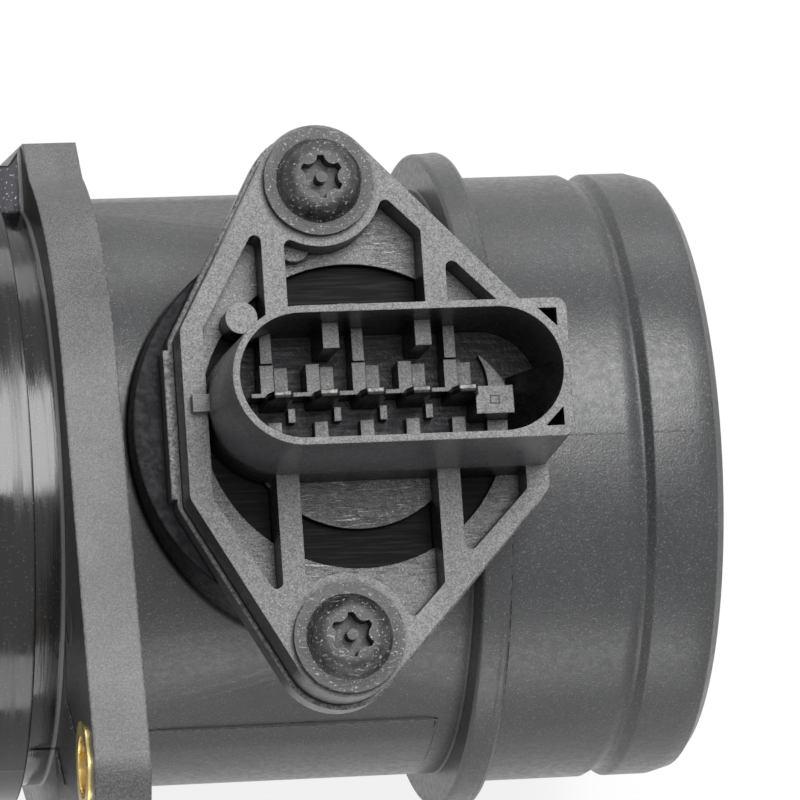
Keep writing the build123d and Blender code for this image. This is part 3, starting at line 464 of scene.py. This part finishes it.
def black_coated_steel():
    """Glossy black coat on steel, scratched by drivers, rubbed on the edges, flecked by handling and darkened
    in its corners and hollows as painted shade.
    """
    made = Finish("black_coated_steel_finish")
    tree, place = made.tree, made.place
    patch = noise(tree, place, 700.0, 5.0, 0.62)
    fleck = noise(tree, place, 3000.0, 3.0, 0.65)
    scratch = noise(tree, stretched(tree, place, (500.0, 3200.0, 900.0), 0.5), 1.0, 4.0, 0.7)
    coat = mixed(tree, band(tree, patch, 0.35, 0.68), paint("screw_coat", 0.5), paint("screw_coat", 2.4))
    hairs = times(tree, band(tree, scratch, 0.6, 0.68), 0.7)
    chips = sums(tree, "MAXIMUM", band(tree, fleck, 0.6, 0.67), hairs)
    rubbed = times(tree, made.edge_wear(0.3 * MM), band(tree, patch, 0.35, 0.62, 0.0, 0.6))
    bare = sums(tree, "MAXIMUM", times(tree, chips, 0.75), rubbed)
    worn = mixed(tree, bare, coat, paint("worn", 1.5))
    # Painted shade: corners and hollows darken towards a near-black coat colour.
    coat_corner_shade = painted_corner_shade(made, 1.3 * MM, 0.4, 0.75)
    made.set(Base_Color=mixed(tree, coat_corner_shade, paint("screw_coat", 0.2), worn))
    made.set(Roughness=band(tree, patch, 0.3, 0.7, 0.36, 0.54), Specular_IOR_Level=0.42)
    made.round_edges(0.2 * MM)
    made.bump(sums(tree, "ADD", sums(tree, "ADD", patch, fleck), scratch), 0.05 * MM, 0.9)
    return made.material


def tinned_metal():
    """Tin plated contact metal with faint drawing lines, painted dark as painted shade, with a painted
    highlight along the rear of each tip.
    """
    made = Finish("tinned_metal_finish")
    tree, place = made.tree, made.place
    lines = noise(tree, stretched(tree, place, (4000.0, 4000.0, 160.0)), 1.0, 3.0)
    cloud = noise(tree, place, 900.0, 3.0)
    # Painted light on the tips: a lighter band at the rear as painted highlight, the front half near black as
    # painted shade; the blades stay at a dark share of the tin colour as painted shade.
    tip = band(tree, made.axes["Z"], TIP_LOW, TIP_LOW + 0.3 * MM)
    rear = band(tree, made.axes["Y"], -0.1 * MM, 0.05 * MM)
    bright = mixed(tree, band(tree, cloud, 0.3, 0.7), paint("tin", 0.08), paint("tin", 0.22))
    crest = mixed(tree, rear, paint("tin", 0.02), bright)
    made.set(Base_Color=mixed(tree, tip, paint("tin", 0.12), crest), Metallic=1.0)
    made.set(Roughness=band(tree, lines, 0.3, 0.7, 0.36, 0.54))
    made.round_edges(0.28 * MM)
    made.bump(lines, 0.012 * MM, 0.6)
    return made.material


def seal_rubber():
    """Black rubber with a dusty bloom and a fine moulded grain."""
    made = Finish("seal_rubber_finish")
    tree, place = made.tree, made.place
    dust = noise(tree, place, 350.0, 5.0)
    colour = mixed(tree, band(tree, dust, 0.45, 0.75), paint("rubber"), paint("rubber", 3.2))
    made.set(Base_Color=colour, Roughness=band(tree, dust, 0.3, 0.7, 0.5, 0.75))
    made.round_edges(0.9 * MM)
    made.bump(noise(tree, place, 3000.0, 2.0), 0.012 * MM, 0.6)
    return made.material


def rolled_aluminium():
    """Rolled aluminium sheet with lengthwise lines."""
    made = Finish("rolled_aluminium_finish")
    tree, place = made.tree, made.place
    lines = noise(tree, stretched(tree, place, (300.0, 5000.0, 5000.0)), 1.0, 3.0)
    made.set(Base_Color=mixed(tree, lines, paint("tin", 0.9), paint("tin", 1.2)), Metallic=1.0)
    made.set(Roughness=band(tree, lines, 0.3, 0.7, 0.28, 0.45))
    made.round_edges(0.1 * MM)
    made.bump(lines, 0.01 * MM, 0.5)
    return made.material


def board_ceramic():
    """White fired ceramic with a faint speckle."""
    made = Finish("board_ceramic_finish")
    tree, place = made.tree, made.place
    speck = noise(tree, place, 2500.0, 3.0)
    colour = mixed(tree, band(tree, speck, 0.55, 0.75), paint("ceramic"), paint("ceramic_specks"))
    made.set(Base_Color=colour, Roughness=band(tree, speck, 0.3, 0.7, 0.35, 0.55))
    made.round_edges(0.08 * MM)
    made.bump(speck, 0.01 * MM, 0.4)
    return made.material


def chip_plastic():
    """Dark moulding compound of a chip body."""
    made = Finish("chip_plastic_finish")
    tree, place = made.tree, made.place
    grain = noise(tree, place, 4000.0, 3.0)
    made.set(Base_Color=mixed(tree, grain, paint("chip"), paint("chip", 2.25)))
    made.set(Roughness=band(tree, grain, 0.3, 0.7, 0.5, 0.7))
    made.round_edges(0.15 * MM)
    made.bump(grain, 0.01 * MM, 0.6)
    return made.material


def sensor_film():
    """Thin film on silicon: bluish, smooth, with a faint meander of heater tracks."""
    made = Finish("sensor_film_finish")
    tree, place = made.tree, made.place
    wave = add(tree, "TexWave", {"Vector": place, "Scale": 1400.0, "Distortion": 0.4}, bands_direction="X")
    tracks = band(tree, wave.outputs["Fac"], 0.45, 0.6)
    made.set(Base_Color=mixed(tree, tracks, paint("film"), paint("tracks")))
    made.set(Roughness=band(tree, tracks, 0.0, 1.0, 0.12, 0.3), Metallic=0.3)
    made.round_edges(0.05 * MM)
    made.bump(tracks, 0.003 * MM, 0.5)
    return made.material


def steel_wire():
    """Drawn stainless wire, bright with darker runs."""
    made = Finish("steel_wire_finish")
    tree, place = made.tree, made.place
    runs = noise(tree, place, 1800.0, 3.0)
    made.set(Base_Color=mixed(tree, runs, paint("wire", 0.6), paint("wire")), Metallic=1.0)
    made.set(Roughness=band(tree, runs, 0.3, 0.7, 0.2, 0.4))
    made.round_edges(0.05 * MM)
    made.bump(runs, 0.005 * MM, 0.5)
    return made.material


def seen_directly(tree):
    """1 for what the camera sees, straight, in a reflection or through something clear."""
    ray = add(tree, "LightPath").outputs
    mirrored = sums(tree, "MAXIMUM", ray["Is Camera Ray"], ray["Is Glossy Ray"])
    return sums(tree, "MAXIMUM", mirrored, ray["Is Transmission Ray"])


def studio_floor():
    """Pale floor that the camera sees as white and that keeps the object's soft shadow."""
    made = Finish("studio_floor_finish")
    tree = made.tree
    cloud = noise(tree, made.place, 6.0, 3.0)
    made.set(Base_Color=mixed(tree, cloud, paint("floor", 0.95), paint("floor")))
    made.set(Roughness=band(tree, cloud, 0.3, 0.7, 0.7, 0.9))
    glow = add(tree, "Emission", {"Color": WHITE, "Strength": 1.0}).outputs[0]
    share = sums(tree, "MULTIPLY", seen_directly(tree), FLOOR_GLOW)
    both = add(tree, "MixShader", {0: share, 1: made.shader.outputs[0], 2: glow}).outputs[0]
    tree.links.new(both, tree.nodes["Material Output"].inputs["Surface"])
    return made.material


FINISH_BY_SLOT = {
    "duct_plastic": duct_plastic,
    "sensor_plastic": sensor_plastic,
    "brass": turned_brass,
    "black_steel": black_coated_steel,
    "tinned_metal": tinned_metal,
    "seal_rubber": seal_rubber,
    "aluminium_sheet": rolled_aluminium,
    "board_ceramic": board_ceramic,
    "chip_plastic": chip_plastic,
    "sensor_film": sensor_film,
    "steel_wire": steel_wire,
}
finishes = {}


def finish_of(slot):
    """The material of a record slot, made once."""
    if slot not in finishes:
        finishes[slot] = FINISH_BY_SLOT[slot]()
    return finishes[slot]


def dress(names):
    """Gives the named nodes the finish of their record slot."""
    slots = {part["node"]: part["material_slot"] for part in frame["record"]["subparts"]}
    for name in names:
        mesh = NODES[name].data
        mesh.materials.clear()
        mesh.materials.append(finish_of(slots[name]))


def new_piece(name, mesh_builder, slot):
    """A new object of the part's one body, from a bmesh, with a record slot's finish."""
    mesh = bpy.data.meshes.new(name)
    mesh_builder.to_mesh(mesh)
    mesh_builder.free()
    piece = bpy.data.objects.new(name, mesh)
    bpy.context.scene.collection.objects.link(piece)
    mesh.materials.append(finish_of(slot))
    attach(piece, "root")
    return piece


def along_bead(place, radius):
    """A point of the solid's bead, moved onto the narrower ring."""
    for i in range(len(BEAD_SOLID) - 1):
        (x_from, low), (x_to, high) = BEAD_SOLID[i], BEAD_SOLID[i + 1]
        if place.x <= x_to or i == len(BEAD_SOLID) - 2:
            share = min(max((place.x - x_from) / (x_to - x_from), 0.0), 1.0)
            if abs(radius - low - (high - low) * share) > NEAR:
                return place
            new_x = BEAD_SHOWN[i][0] + (BEAD_SHOWN[i + 1][0] - BEAD_SHOWN[i][0]) * share
            new_r = BEAD_SHOWN[i][1] + (BEAD_SHOWN[i + 1][1] - BEAD_SHOWN[i][1]) * share
            return Vector((new_x, place.y * new_r / radius, place.z * new_r / radius))
    return place


def along_rim(place, radius):
    """A point of the solid's flange outline, moved onto the outline of the photograph."""
    side = math.copysign(1.0, place.y)
    if abs(abs(place.y) - FLAT_Y) < NEAR and abs(place.z) < FLAT_HALF + NEAR:
        half = FLAT_SHOWN_HALF / FLAT_HALF if abs(place.z) > KEY_HALF + NEAR else 1.0
        return Vector((place.x, side * FLAT_SHOWN_Y, place.z * half))
    if abs(radius - RIM_R) < NEAR:
        return Vector((place.x, place.y * RIM_SHOWN_R / radius, place.z * RIM_SHOWN_R / radius))
    return place


def along_neck(place, radius):
    """A point of the solid's step ring, moved in onto the neck behind the flange."""
    if abs(abs(place.z) - KEY_HALF) < NEAR:
        drop = math.sqrt(NECK_SHOWN_R ** 2 - place.z ** 2)
        return Vector((place.x, math.copysign(drop, place.y), place.z))
    return Vector((place.x, place.y * NECK_SHOWN_R / radius, place.z * NECK_SHOWN_R / radius))


def along_post(place, radius):
    """A point of an upright screw post, moved onto the leaning one, with its foot kept on the tube."""
    side = math.copysign(1.0, place.y)
    from_axis = Vector((place.x - POST_X, place.y - side * POST_Y))
    share = (POST_TOP - place.z) / POST_LENGTH
    shown = POST_SHOWN_R + (POST_FOOT_R - POST_SHOWN_R) * share
    from_axis *= shown / from_axis.length
    new_y = side * (POST_Y - POST_LEAN * share) + from_axis.y
    new_z = math.sqrt(TUBE_R ** 2 - new_y ** 2) if abs(radius - TUBE_R) < NEAR else place.z
    return Vector((POST_X + from_axis.x, new_y, new_z))


def along_lower_key(place, radius):
    """A point of the lower key, sunk into the spigot and the flange, since the photograph shows none."""
    if place.x < KEY_MIDDLE:
        return Vector((place.x, place.y * KEY_SUNK_R / radius, place.z * KEY_SUNK_R / radius))
    return Vector((-NEAR, place.y * NECK_SUNK_R / radius, place.z * NECK_SUNK_R / radius))


def shown_duct(place):
    """Where a point of the duct's solid, in mm, lies on the duct that the photograph shows."""
    radius = math.hypot(place.y, place.z)
    if BEAD_SOLID[0][0] - NEAR < place.x < BEAD_SOLID[-1][0] + NEAR:
        return along_bead(place, radius)
    for (x, r), (new_x, new_r) in zip(GROOVE_SOLID, GROOVE_SHOWN):
        if abs(place.x - x) < NEAR and abs(radius - r) < NEAR:
            return Vector((new_x, place.y * new_r / radius, place.z * new_r / radius))
    on_ring = abs(radius - NECK_R) < NEAR and abs(place.y) < NECK_R - NECK_SLACK
    if on_ring and NECK_FRONT - NEAR < place.x < NEAR:
        return along_neck(place, radius)
    in_key = place.y < KEY_LOW and abs(place.z) < KEY_HALF + NEAR and radius > INLET_R + NEAR
    if in_key and place.x < -NEAR:
        return along_lower_key(place, radius)
    if abs(place.x - PAD_X) < NEAR and place.z > POST_TOP - NEAR:
        return Vector((PAD_SHOWN_X, place.y, place.z))
    if -NEAR < place.x < FLANGE_BACK + NEAR:
        return along_rim(place, radius)
    aside = math.hypot(place.x - POST_X, abs(place.y) - POST_Y)
    if abs(aside - POST_R) < NEAR and POST_LOW < place.z < POST_TOP + NEAR:
        return along_post(place, radius)
    return place


def shown_screw(place, centre):
    """Where a point of a screw's solid, in mm, lies once its recess is fluted as in the photograph."""
    across = Vector((place.x - centre.x, place.y - centre.y))
    if place.z < DRIVE_FLOOR - NEAR or not DRIVE_LOW < across.length < DRIVE_HIGH:
        return place
    off_lobe = (math.atan2(across.y, across.x) - FIRST_LOBE) % LOBE_TURN
    off_flute = off_lobe - LOBE_TURN / 2
    reach = DRIVE_SHOWN_R
    inside = FLUTE_R ** 2 - (FLUTE_PLACE * math.sin(off_flute)) ** 2
    if inside > 0.0:
        reach = min(reach, FLUTE_PLACE * math.cos(off_flute) - math.sqrt(inside))
    across *= reach / across.length
    return Vector((centre.x + across.x, centre.y + across.y, place.z))


def wall_over_key(builder, x_from, x_to, outer, steps=14):
    """Closes the round wall where the lower key stood, with a curved block from x_from to x_to, in mm."""
    rows = []
    for i in range(steps + 1):
        angle = KEY_ANGLE * (2 * i / steps - 1)
        out = Vector((0.0, -math.cos(angle), math.sin(angle)))
        corners = ((x_from, WALL_R), (x_from, outer), (x_to, outer), (x_to, WALL_R))
        rows.append([builder.verts.new((Vector((x, 0.0, 0.0)) + out * r) * MM) for x, r in corners])
    for first, second in zip(rows, rows[1:]):
        for j in range(4):
            builder.faces.new((first[j], first[(j + 1) % 4], second[(j + 1) % 4], second[j]))
    builder.faces.new(reversed(rows[0]))
    builder.faces.new(rows[-1])


def close_lower_key(builder):
    """Closes the spigot's wall and the neck where the lower key stood."""
    wall_over_key(builder, KEY_FRONT, NECK_FRONT, INLET_R)
    wall_over_key(builder, NECK_FRONT, 0.0, NECK_SHOWN_R)
    bmesh.ops.recalc_face_normals(builder, faces=builder.faces)


def shaped_copy(name, node, slot, shown, completed=None):
    """A copy of a node's mesh with its points moved by shown and then completed, in place of the node."""
    builder = bmesh.new()
    builder.from_mesh(NODES[node].data)
    bmesh.ops.remove_doubles(builder, verts=builder.verts, dist=WELD)
    for vert in builder.verts:
        vert.co = shown(vert.co / MM) * MM
    if completed:
        completed(builder)
    for face in builder.faces:
        face.smooth = True
    for edge in builder.edges:
        edge.smooth = len(edge.link_faces) == 2 and edge.calc_face_angle() < SHARP_ANGLE
    piece = new_piece(name, builder, slot)
    piece.data.attributes.remove(piece.data.attributes["custom_normal"])
    piece.modifiers.new("weighted_normals", "WEIGHTED_NORMAL").keep_sharp = True
    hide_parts(node)


def ridge(builder, points, outwards, width, height):
    """Adds a low ridge of triangular section along points, with an outward direction at each."""
    rows = []
    for i, point in enumerate(points):
        ahead = points[min(i + 1, len(points) - 1)] - points[max(i - 1, 0)]
        side = ahead.cross(outwards[i]).normalized() * width / 2
        sunk = point - outwards[i] * height
        crest = point + outwards[i] * height
        section = (sunk - side, point - side, crest, point + side, sunk + side)
        rows.append([builder.verts.new(corner) for corner in section])
    for first, second in zip(rows, rows[1:]):
        for j in range(4):
            builder.faces.new((first[j], second[j], second[j + 1], first[j + 1]))
    builder.faces.new(rows[0])
    builder.faces.new(reversed(rows[-1]))


def along_tube(x_from, x_to, angle, radius, steps=24):
    """Points and outward directions along a tube's side, at an angle from +Z towards -Y."""
    out = Vector((0.0, -math.sin(angle), math.cos(angle)))
    places = [x_from + (x_to - x_from) * i / steps for i in range(steps + 1)]
    return [Vector((x, 0.0, 0.0)) + out * radius for x in places], [out] * (steps + 1)


def round_tube(x, angle_from, angle_to, radius, steps=16):
    """Points and outward directions round a tube at one place x."""
    outwards = []
    for i in range(steps + 1):
        angle = angle_from + (angle_to - angle_from) * i / steps
        outwards.append(Vector((0.0, -math.sin(angle), math.cos(angle))))
    return [Vector((x, 0.0, 0.0)) + out * radius for out in outwards], outwards


class AIRFLOW_PG_marks(bpy.types.PropertyGroup):
    """Sizes of the moulding marks and the woven screen."""

    line_width: bpy.props.FloatProperty(
        name="Parting line width", description="Width of the raised line where the mould halves met",
        default=0.22 * MM, min=0.0, unit="LENGTH")
    line_height: bpy.props.FloatProperty(
        name="Parting line height", description="How far the parting line stands out",
        default=0.06 * MM, min=0.0, unit="LENGTH")
    mesh_pitch: bpy.props.FloatProperty(
        name="Screen pitch", description="Distance between the wires of the woven screen",
        default=1.9 * MM, min=0.5 * MM, unit="LENGTH")
    mesh_wire: bpy.props.FloatProperty(
        name="Screen wire", description="Thickness of the screen's wires",
        default=0.24 * MM, min=0.05 * MM, unit="LENGTH")


def colour_setting(name, description, red, green, blue):
    """One colour that a user may change."""
    return bpy.props.FloatVectorProperty(
        name=name, description=description, default=(red, green, blue),
        subtype="COLOR", size=3, min=0.0, max=1.0)


def power_setting(name, description, power):
    """Power or level of one light that a user may change."""
    return bpy.props.FloatProperty(name=name, description=description, default=power, min=0.0)


class AIRFLOW_PG_colours(bpy.types.PropertyGroup):
    """Colours of the finishes."""

    duct: colour_setting("Duct", "Matt plastic of the duct's tube", 0.036, 0.037, 0.039)
    flange: colour_setting("Flange", "Paler moulded rim of the flange", 0.075, 0.075, 0.075)
    gloss: colour_setting("Glossy plastic", "Inlet spigot and saddle boss", 0.006, 0.006, 0.007)
    # plate and wall are one plastic: plate is the painted highlight of the upper faces, wall the painted
    # shade of the walls.
    plate: colour_setting("Sensor faces", "Upper faces of the plug-in unit", 0.125, 0.125, 0.125)
    wall: colour_setting("Sensor walls", "Dark smooth walls of the plug-in unit", 0.013, 0.013, 0.014)
    worn: colour_setting("Rubbed plastic", "Scuffs, fibre ends and worn edges", 0.26, 0.26, 0.26)
    brass: colour_setting("Brass", "Bushes in the flange", 0.86, 0.68, 0.29)
    screw_coat: colour_setting("Screw coat", "Black coat of the two screws", 0.015, 0.015, 0.015)
    tin: colour_setting("Tin plating", "Terminals and sheet metal", 0.6, 0.59, 0.57)
    rubber: colour_setting("Rubber", "Seal rings", 0.015, 0.015, 0.015)
    ceramic: colour_setting("Ceramic", "Circuit board", 0.8, 0.79, 0.74)
    ceramic_specks: colour_setting("Ceramic specks", "Specks in the circuit board", 0.6, 0.58, 0.52)
    chip: colour_setting("Chip", "Moulded body of the control chip", 0.02, 0.02, 0.02)
    film: colour_setting("Film", "Measuring element", 0.05, 0.08, 0.14)
    tracks: colour_setting("Tracks", "Heater tracks on the measuring element", 0.35, 0.33, 0.25)
    wire: colour_setting("Wire", "Woven screen and temperature probe", 0.7, 0.7, 0.7)
    floor: colour_setting("Floor", "Studio floor", 0.82, 0.82, 0.82)


class AIRFLOW_PG_studio(bpy.types.PropertyGroup):
    """Lamps and surroundings."""

    key_power: power_setting("Overhead lamp", "Large soft lamp above the connector", 15.0)
    rear_power: power_setting("Rear lamp", "Lamp that grazes the duct from behind", 3.0)
    front_power: power_setting("Front lamp", "Low lamp in front of the duct", 4.0)
    sky_level: power_setting("Surroundings", "Light that comes evenly from all sides", 0.16)


class AIRFLOW_OT_duct(bpy.types.Operator):
    """Finishes the duct, its flange bushes, grid and rings"""

    bl_idname = "airflow.duct"
    bl_label = "Duct and rings"

    def execute(self, context):
        dress(["front_flange_bush", "rear_flange_bush", "flow_grid", "grid_retaining_ring"])
        dress(["inlet_seal_ring", "plug_seal_ring"])
        shaped_copy("duct_moulding", "duct_housing", "duct_plastic", shown_duct, close_lower_key)
        return {"FINISHED"}


class AIRFLOW_OT_sensor(bpy.types.Operator):
    """Finishes the plug-in unit, its terminals, covers and inner pieces"""

    bl_idname = "airflow.sensor"
    bl_label = "Plug-in unit"

    def execute(self, context):
        dress(["sensor_housing", "electronics_cover", "bypass_cover", "carrier_plate", "circuit_board"])
        dress(["control_chip", "measuring_element", "air_temperature_probe"])
        dress([f"terminal_{number}" for number in range(1, 6)])
        return {"FINISHED"}


class AIRFLOW_OT_screws(bpy.types.Operator):
    """Finishes the two tamper-proof screws"""

    bl_idname = "airflow.screws"
    bl_label = "Screws"

    def execute(self, context):
        for side, node in ((-1.0, "front_screw"), (1.0, "rear_screw")):
            centre = Vector((POST_X, side * POST_Y))
            shaped_copy(f"{node}_body", node, "black_steel", lambda place: shown_screw(place, centre))
        return {"FINISHED"}


class AIRFLOW_OT_parting_lines(bpy.types.Operator):
    """Adds the fine raised lines where the halves of the duct's mould met"""

    bl_idname = "airflow.parting_lines"
    bl_label = "Parting lines"

    def execute(self, context):
        marks = context.scene.airflow_marks
        builder = bmesh.new()
        crest = math.radians(2.4)
        turn = math.radians(62.5)
        for start, end, angle, radius in (
            (49.0 * MM, 62.5 * MM, crest, SPIGOT_R),
            (65.9 * MM, 70.3 * MM, crest, SPIGOT_R),
            (6.4 * MM, 42.8 * MM, turn, CENTRE_R),
        ):
            points, outwards = along_tube(start, end, angle, radius)
            ridge(builder, points, outwards, marks.line_width, marks.line_height)
        points, outwards = round_tube(42.8 * MM, turn, math.radians(80.0), CENTRE_R)
        ridge(builder, points, outwards, marks.line_width, marks.line_height)
        new_piece("parting_lines", builder, "duct_plastic")
        return {"FINISHED"}


class AIRFLOW_OT_flange_marks(bpy.types.Operator):
    """Adds the ejector ring, the thin rib and the ragged flash on the flange's inlet face"""

    bl_idname = "airflow.flange_marks"
    bl_label = "Flange marks"

    def execute(self, context):
        builder = bmesh.new()
        self.ring(builder, Vector(PIN_MARK) * MM, PIN_MARK_R)
        rib = [Vector(place) * MM for place in THIN_RIB]
        ridge(builder, rib, [FACE_OUT] * len(rib), 0.5 * MM, 0.12 * MM)
        for start, end, count in FLASH_LINES:
            self.flash(builder, Vector(start) * MM, Vector(end) * MM, count)
        new_piece("flange_marks", builder, "duct_plastic")
        return {"FINISHED"}

    def ring(self, builder, centre, radius, steps=32):
        """Raised ring line that an ejector pin leaves."""
        places = []
        for i in range(steps + 1):
            angle = 2 * math.pi * i / steps
            places.append(centre + Vector((0.0, math.cos(angle), math.sin(angle))) * radius)
        ridge(builder, places, [FACE_OUT] * len(places), 0.3 * MM, 0.1 * MM)

    def flash(self, builder, start, end, count):
        """Ragged thin flakes along a line on the face."""
        along = (end - start) / count
        side = along.cross(FACE_OUT).normalized()
        for i in range(count):
            reach = random.uniform(*FLAKE_REACH) * MM
            foot = start + along * (i + random.uniform(-FLAKE_JITTER, FLAKE_JITTER))
            tip = foot + along / 2 + side * reach + FACE_OUT * random.uniform(*FLAKE_LIFT) * MM
            corners = [foot, foot + along * FLAKE_OVERLAP, tip]
            low = [builder.verts.new(corner - FACE_OUT * FLAKE_SUNK) for corner in corners]
            high = [builder.verts.new(corner + FACE_OUT * FLAKE_PROUD) for corner in corners]
            builder.faces.new(reversed(low))
            builder.faces.new(high)
            for j in range(3):
                builder.faces.new((low[j], low[(j + 1) % 3], high[(j + 1) % 3], high[j]))


class AIRFLOW_OT_tower_mark(bpy.types.Operator):
    """Adds the small raised frame on top of the coding tower in the socket"""

    bl_idname = "airflow.tower_mark"
    bl_label = "Tower mark"

    def execute(self, context):
        builder = bmesh.new()
        signs = ((-1, -1), (1, -1), (1, 1), (-1, 1), (-1, -1))
        corners = [TOWER_TOP + Vector((x * FRAME_HALF_X, y * FRAME_HALF_Y, 0.0)) for x, y in signs]
        for side in zip(corners, corners[1:]):
            ridge(builder, side, [Vector((0.0, 0.0, 1.0))] * 2, 0.14 * MM, 0.05 * MM)
        new_piece("tower_mark", builder, "sensor_plastic")
        return {"FINISHED"}


class AIRFLOW_OT_woven_screen(bpy.types.Operator):
    """Weaves the fine wire screen that the pierced disc stands for"""

    bl_idname = "airflow.woven_screen"
    bl_label = "Woven screen"

    def execute(self, context):
        marks = context.scene.airflow_marks
        radius = (SCREEN_HIGH.y - SCREEN_LOW.y) / 2
        middle = (SCREEN_LOW.x + SCREEN_HIGH.x) / 2
        builder = bmesh.new()
        count = int(radius / marks.mesh_pitch)
        for turned in (False, True):
            for row in range(-count, count + 1):
                offset = row * marks.mesh_pitch
                self.weave(builder, marks, offset, radius, middle, row, turned)
        piece = new_piece("woven_screen", builder, "steel_wire")
        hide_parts("wire_screen")
        return {"FINISHED"}

    def weave(self, builder, marks, offset, radius, middle, row, turned):
        """One wavy wire across the disc."""
        half = math.sqrt(max(radius * radius - offset * offset, 0.0))
        steps = max(2, 2 * int(half / marks.mesh_pitch))
        thick = marks.mesh_wire / 2
        rings = []
        for i in range(steps + 1):
            along = -half + 2 * half * i / steps
            wave = math.cos(math.pi * (along / marks.mesh_pitch + row + (1 if turned else 0)))
            x = middle + wave * thick * WEAVE_SHARE
            ring = []
            for dx, dy in ((thick, 0.0), (0.0, thick), (-thick, 0.0), (0.0, -thick)):
                side = offset + dy
                place = (x + dx, along, side) if turned else (x + dx, side, along)
                ring.append(builder.verts.new(place))
            rings.append(ring)
        for first, second in zip(rings, rings[1:]):
            for j in range(4):
                builder.faces.new((first[j], first[(j + 1) % 4], second[(j + 1) % 4], second[j]))


def area_lamp(name, place, size, power):
    """Soft rectangular lamp that points at LAMP_AIM."""
    data = bpy.data.lights.new(name, "AREA")
    data.shape = "RECTANGLE"
    data.size, data.size_y = size
    data.energy = power
    lamp = bpy.data.objects.new(name, data)
    bpy.context.scene.collection.objects.link(lamp)
    lamp.location = place
    lamp.rotation_euler = (LAMP_AIM - place).to_track_quat("-Z", "Y").to_euler()
    lamp.visible_camera = False


class AIRFLOW_OT_studio(bpy.types.Operator):
    """Sets up the pale floor, the soft lamps, the white surroundings and the photograph's camera"""

    bl_idname = "airflow.studio"
    bl_label = "Studio"

    def execute(self, context):
        studio = context.scene.airflow_studio
        self.lay_floor()
        self.hang_lamps(studio)
        self.light_surroundings(context, studio)
        self.place_camera(context)
        context.scene.view_settings.view_transform = "Standard"
        return {"FINISHED"}

    def lay_floor(self):
        """Large flat floor just under the lowest point of the part."""
        mesh = bpy.data.meshes.new("floor")
        builder = bmesh.new()
        bmesh.ops.create_grid(builder, x_segments=1, y_segments=1, size=FLOOR_HALF)
        builder.to_mesh(mesh)
        builder.free()
        floor = bpy.data.objects.new("floor", mesh)
        bpy.context.scene.collection.objects.link(floor)
        floor.location.z = CAD_BOX[0].z - FLOOR_GAP
        mesh.materials.append(studio_floor())

    def hang_lamps(self, studio):
        """A large soft lamp overhead, and weak ones low behind and in front of the duct."""
        for name, setting, place, size in LAMPS:
            area_lamp(name, Vector(place), size, getattr(studio, setting))

    def light_surroundings(self, context, studio):
        """White to the camera and in reflections, gentler as a light."""
        world = bpy.data.worlds.new("studio_surroundings")
        context.scene.world = world
        world.use_nodes = True
        tree = world.node_tree
        strength = value_mix(tree, seen_directly(tree), studio.sky_level, 1.0)
        tree.links.new(strength, tree.nodes["Background"].inputs["Strength"])
        tree.nodes["Background"].inputs["Color"].default_value = WHITE

    def place_camera(self, context):
        """The photograph's viewpoint, from its yaw, pitch and roll."""
        yaw, pitch, roll = CAMERA_YAW, CAMERA_PITCH, CAMERA_ROLL
        level = Vector((math.cos(yaw), 0.0, math.sin(yaw)))
        rise = Vector((-math.sin(yaw) * math.sin(pitch), math.cos(pitch), math.cos(yaw) * math.sin(pitch)))
        ahead = Vector((math.sin(yaw) * math.cos(pitch), math.sin(pitch), -math.cos(yaw) * math.cos(pitch)))
        right = level * math.cos(roll) - rise * math.sin(roll)
        top = level * math.sin(roll) + rise * math.cos(roll)
        data = bpy.data.cameras.new("photo_camera")
        data.lens = CAMERA_LENS
        data.sensor_width = CAMERA_SENSOR
        data.clip_start, data.clip_end = CAMERA_CLIP
        camera = bpy.data.objects.new("photo_camera", data)
        context.scene.collection.objects.link(camera)
        turn = Matrix((right, top, -ahead)).transposed().to_4x4()
        camera.matrix_world = Matrix.Translation(CAMERA_PLACE) @ turn
        context.scene.camera = camera


class AIRFLOW_PT_panel(bpy.types.Panel):
    """Sidebar panel with the sizes and the steps"""

    bl_label = "Airflow Sensor"
    bl_space_type = "VIEW_3D"
    bl_region_type = "UI"
    bl_category = "Airflow Sensor"

    def draw(self, context):
        scene = context.scene
        for settings in (scene.airflow_marks, scene.airflow_colours, scene.airflow_studio):
            for name in settings.__annotations__:
                self.layout.prop(settings, name)
        for step in STEPS:
            self.layout.operator(step.bl_idname)


STEPS = (
    AIRFLOW_OT_duct,
    AIRFLOW_OT_sensor,
    AIRFLOW_OT_screws,
    AIRFLOW_OT_parting_lines,
    AIRFLOW_OT_flange_marks,
    AIRFLOW_OT_tower_mark,
    AIRFLOW_OT_woven_screen,
    AIRFLOW_OT_studio,
)
CLASSES = (AIRFLOW_PG_marks, AIRFLOW_PG_colours, AIRFLOW_PG_studio, *STEPS, AIRFLOW_PT_panel)


def register():
    """Registers the classes and hangs the settings on the scene."""
    for cls in CLASSES:
        bpy.utils.register_class(cls)
    bpy.types.Scene.airflow_marks = bpy.props.PointerProperty(type=AIRFLOW_PG_marks)
    bpy.types.Scene.airflow_colours = bpy.props.PointerProperty(type=AIRFLOW_PG_colours)
    bpy.types.Scene.airflow_studio = bpy.props.PointerProperty(type=AIRFLOW_PG_studio)


def unregister():
    """Takes the settings and classes away again."""
    del bpy.types.Scene.airflow_studio
    del bpy.types.Scene.airflow_colours
    del bpy.types.Scene.airflow_marks
    for cls in reversed(CLASSES):
        bpy.utils.unregister_class(cls)


def main():
    register()
    random.seed(SEED)
    for step in STEPS:
        group, name = step.bl_idname.split(".")
        if getattr(getattr(bpy.ops, group), name)() != {"FINISHED"}:
            raise RuntimeError(f"{step.bl_label} did not finish")


if __name__ == "__main__":
    main()
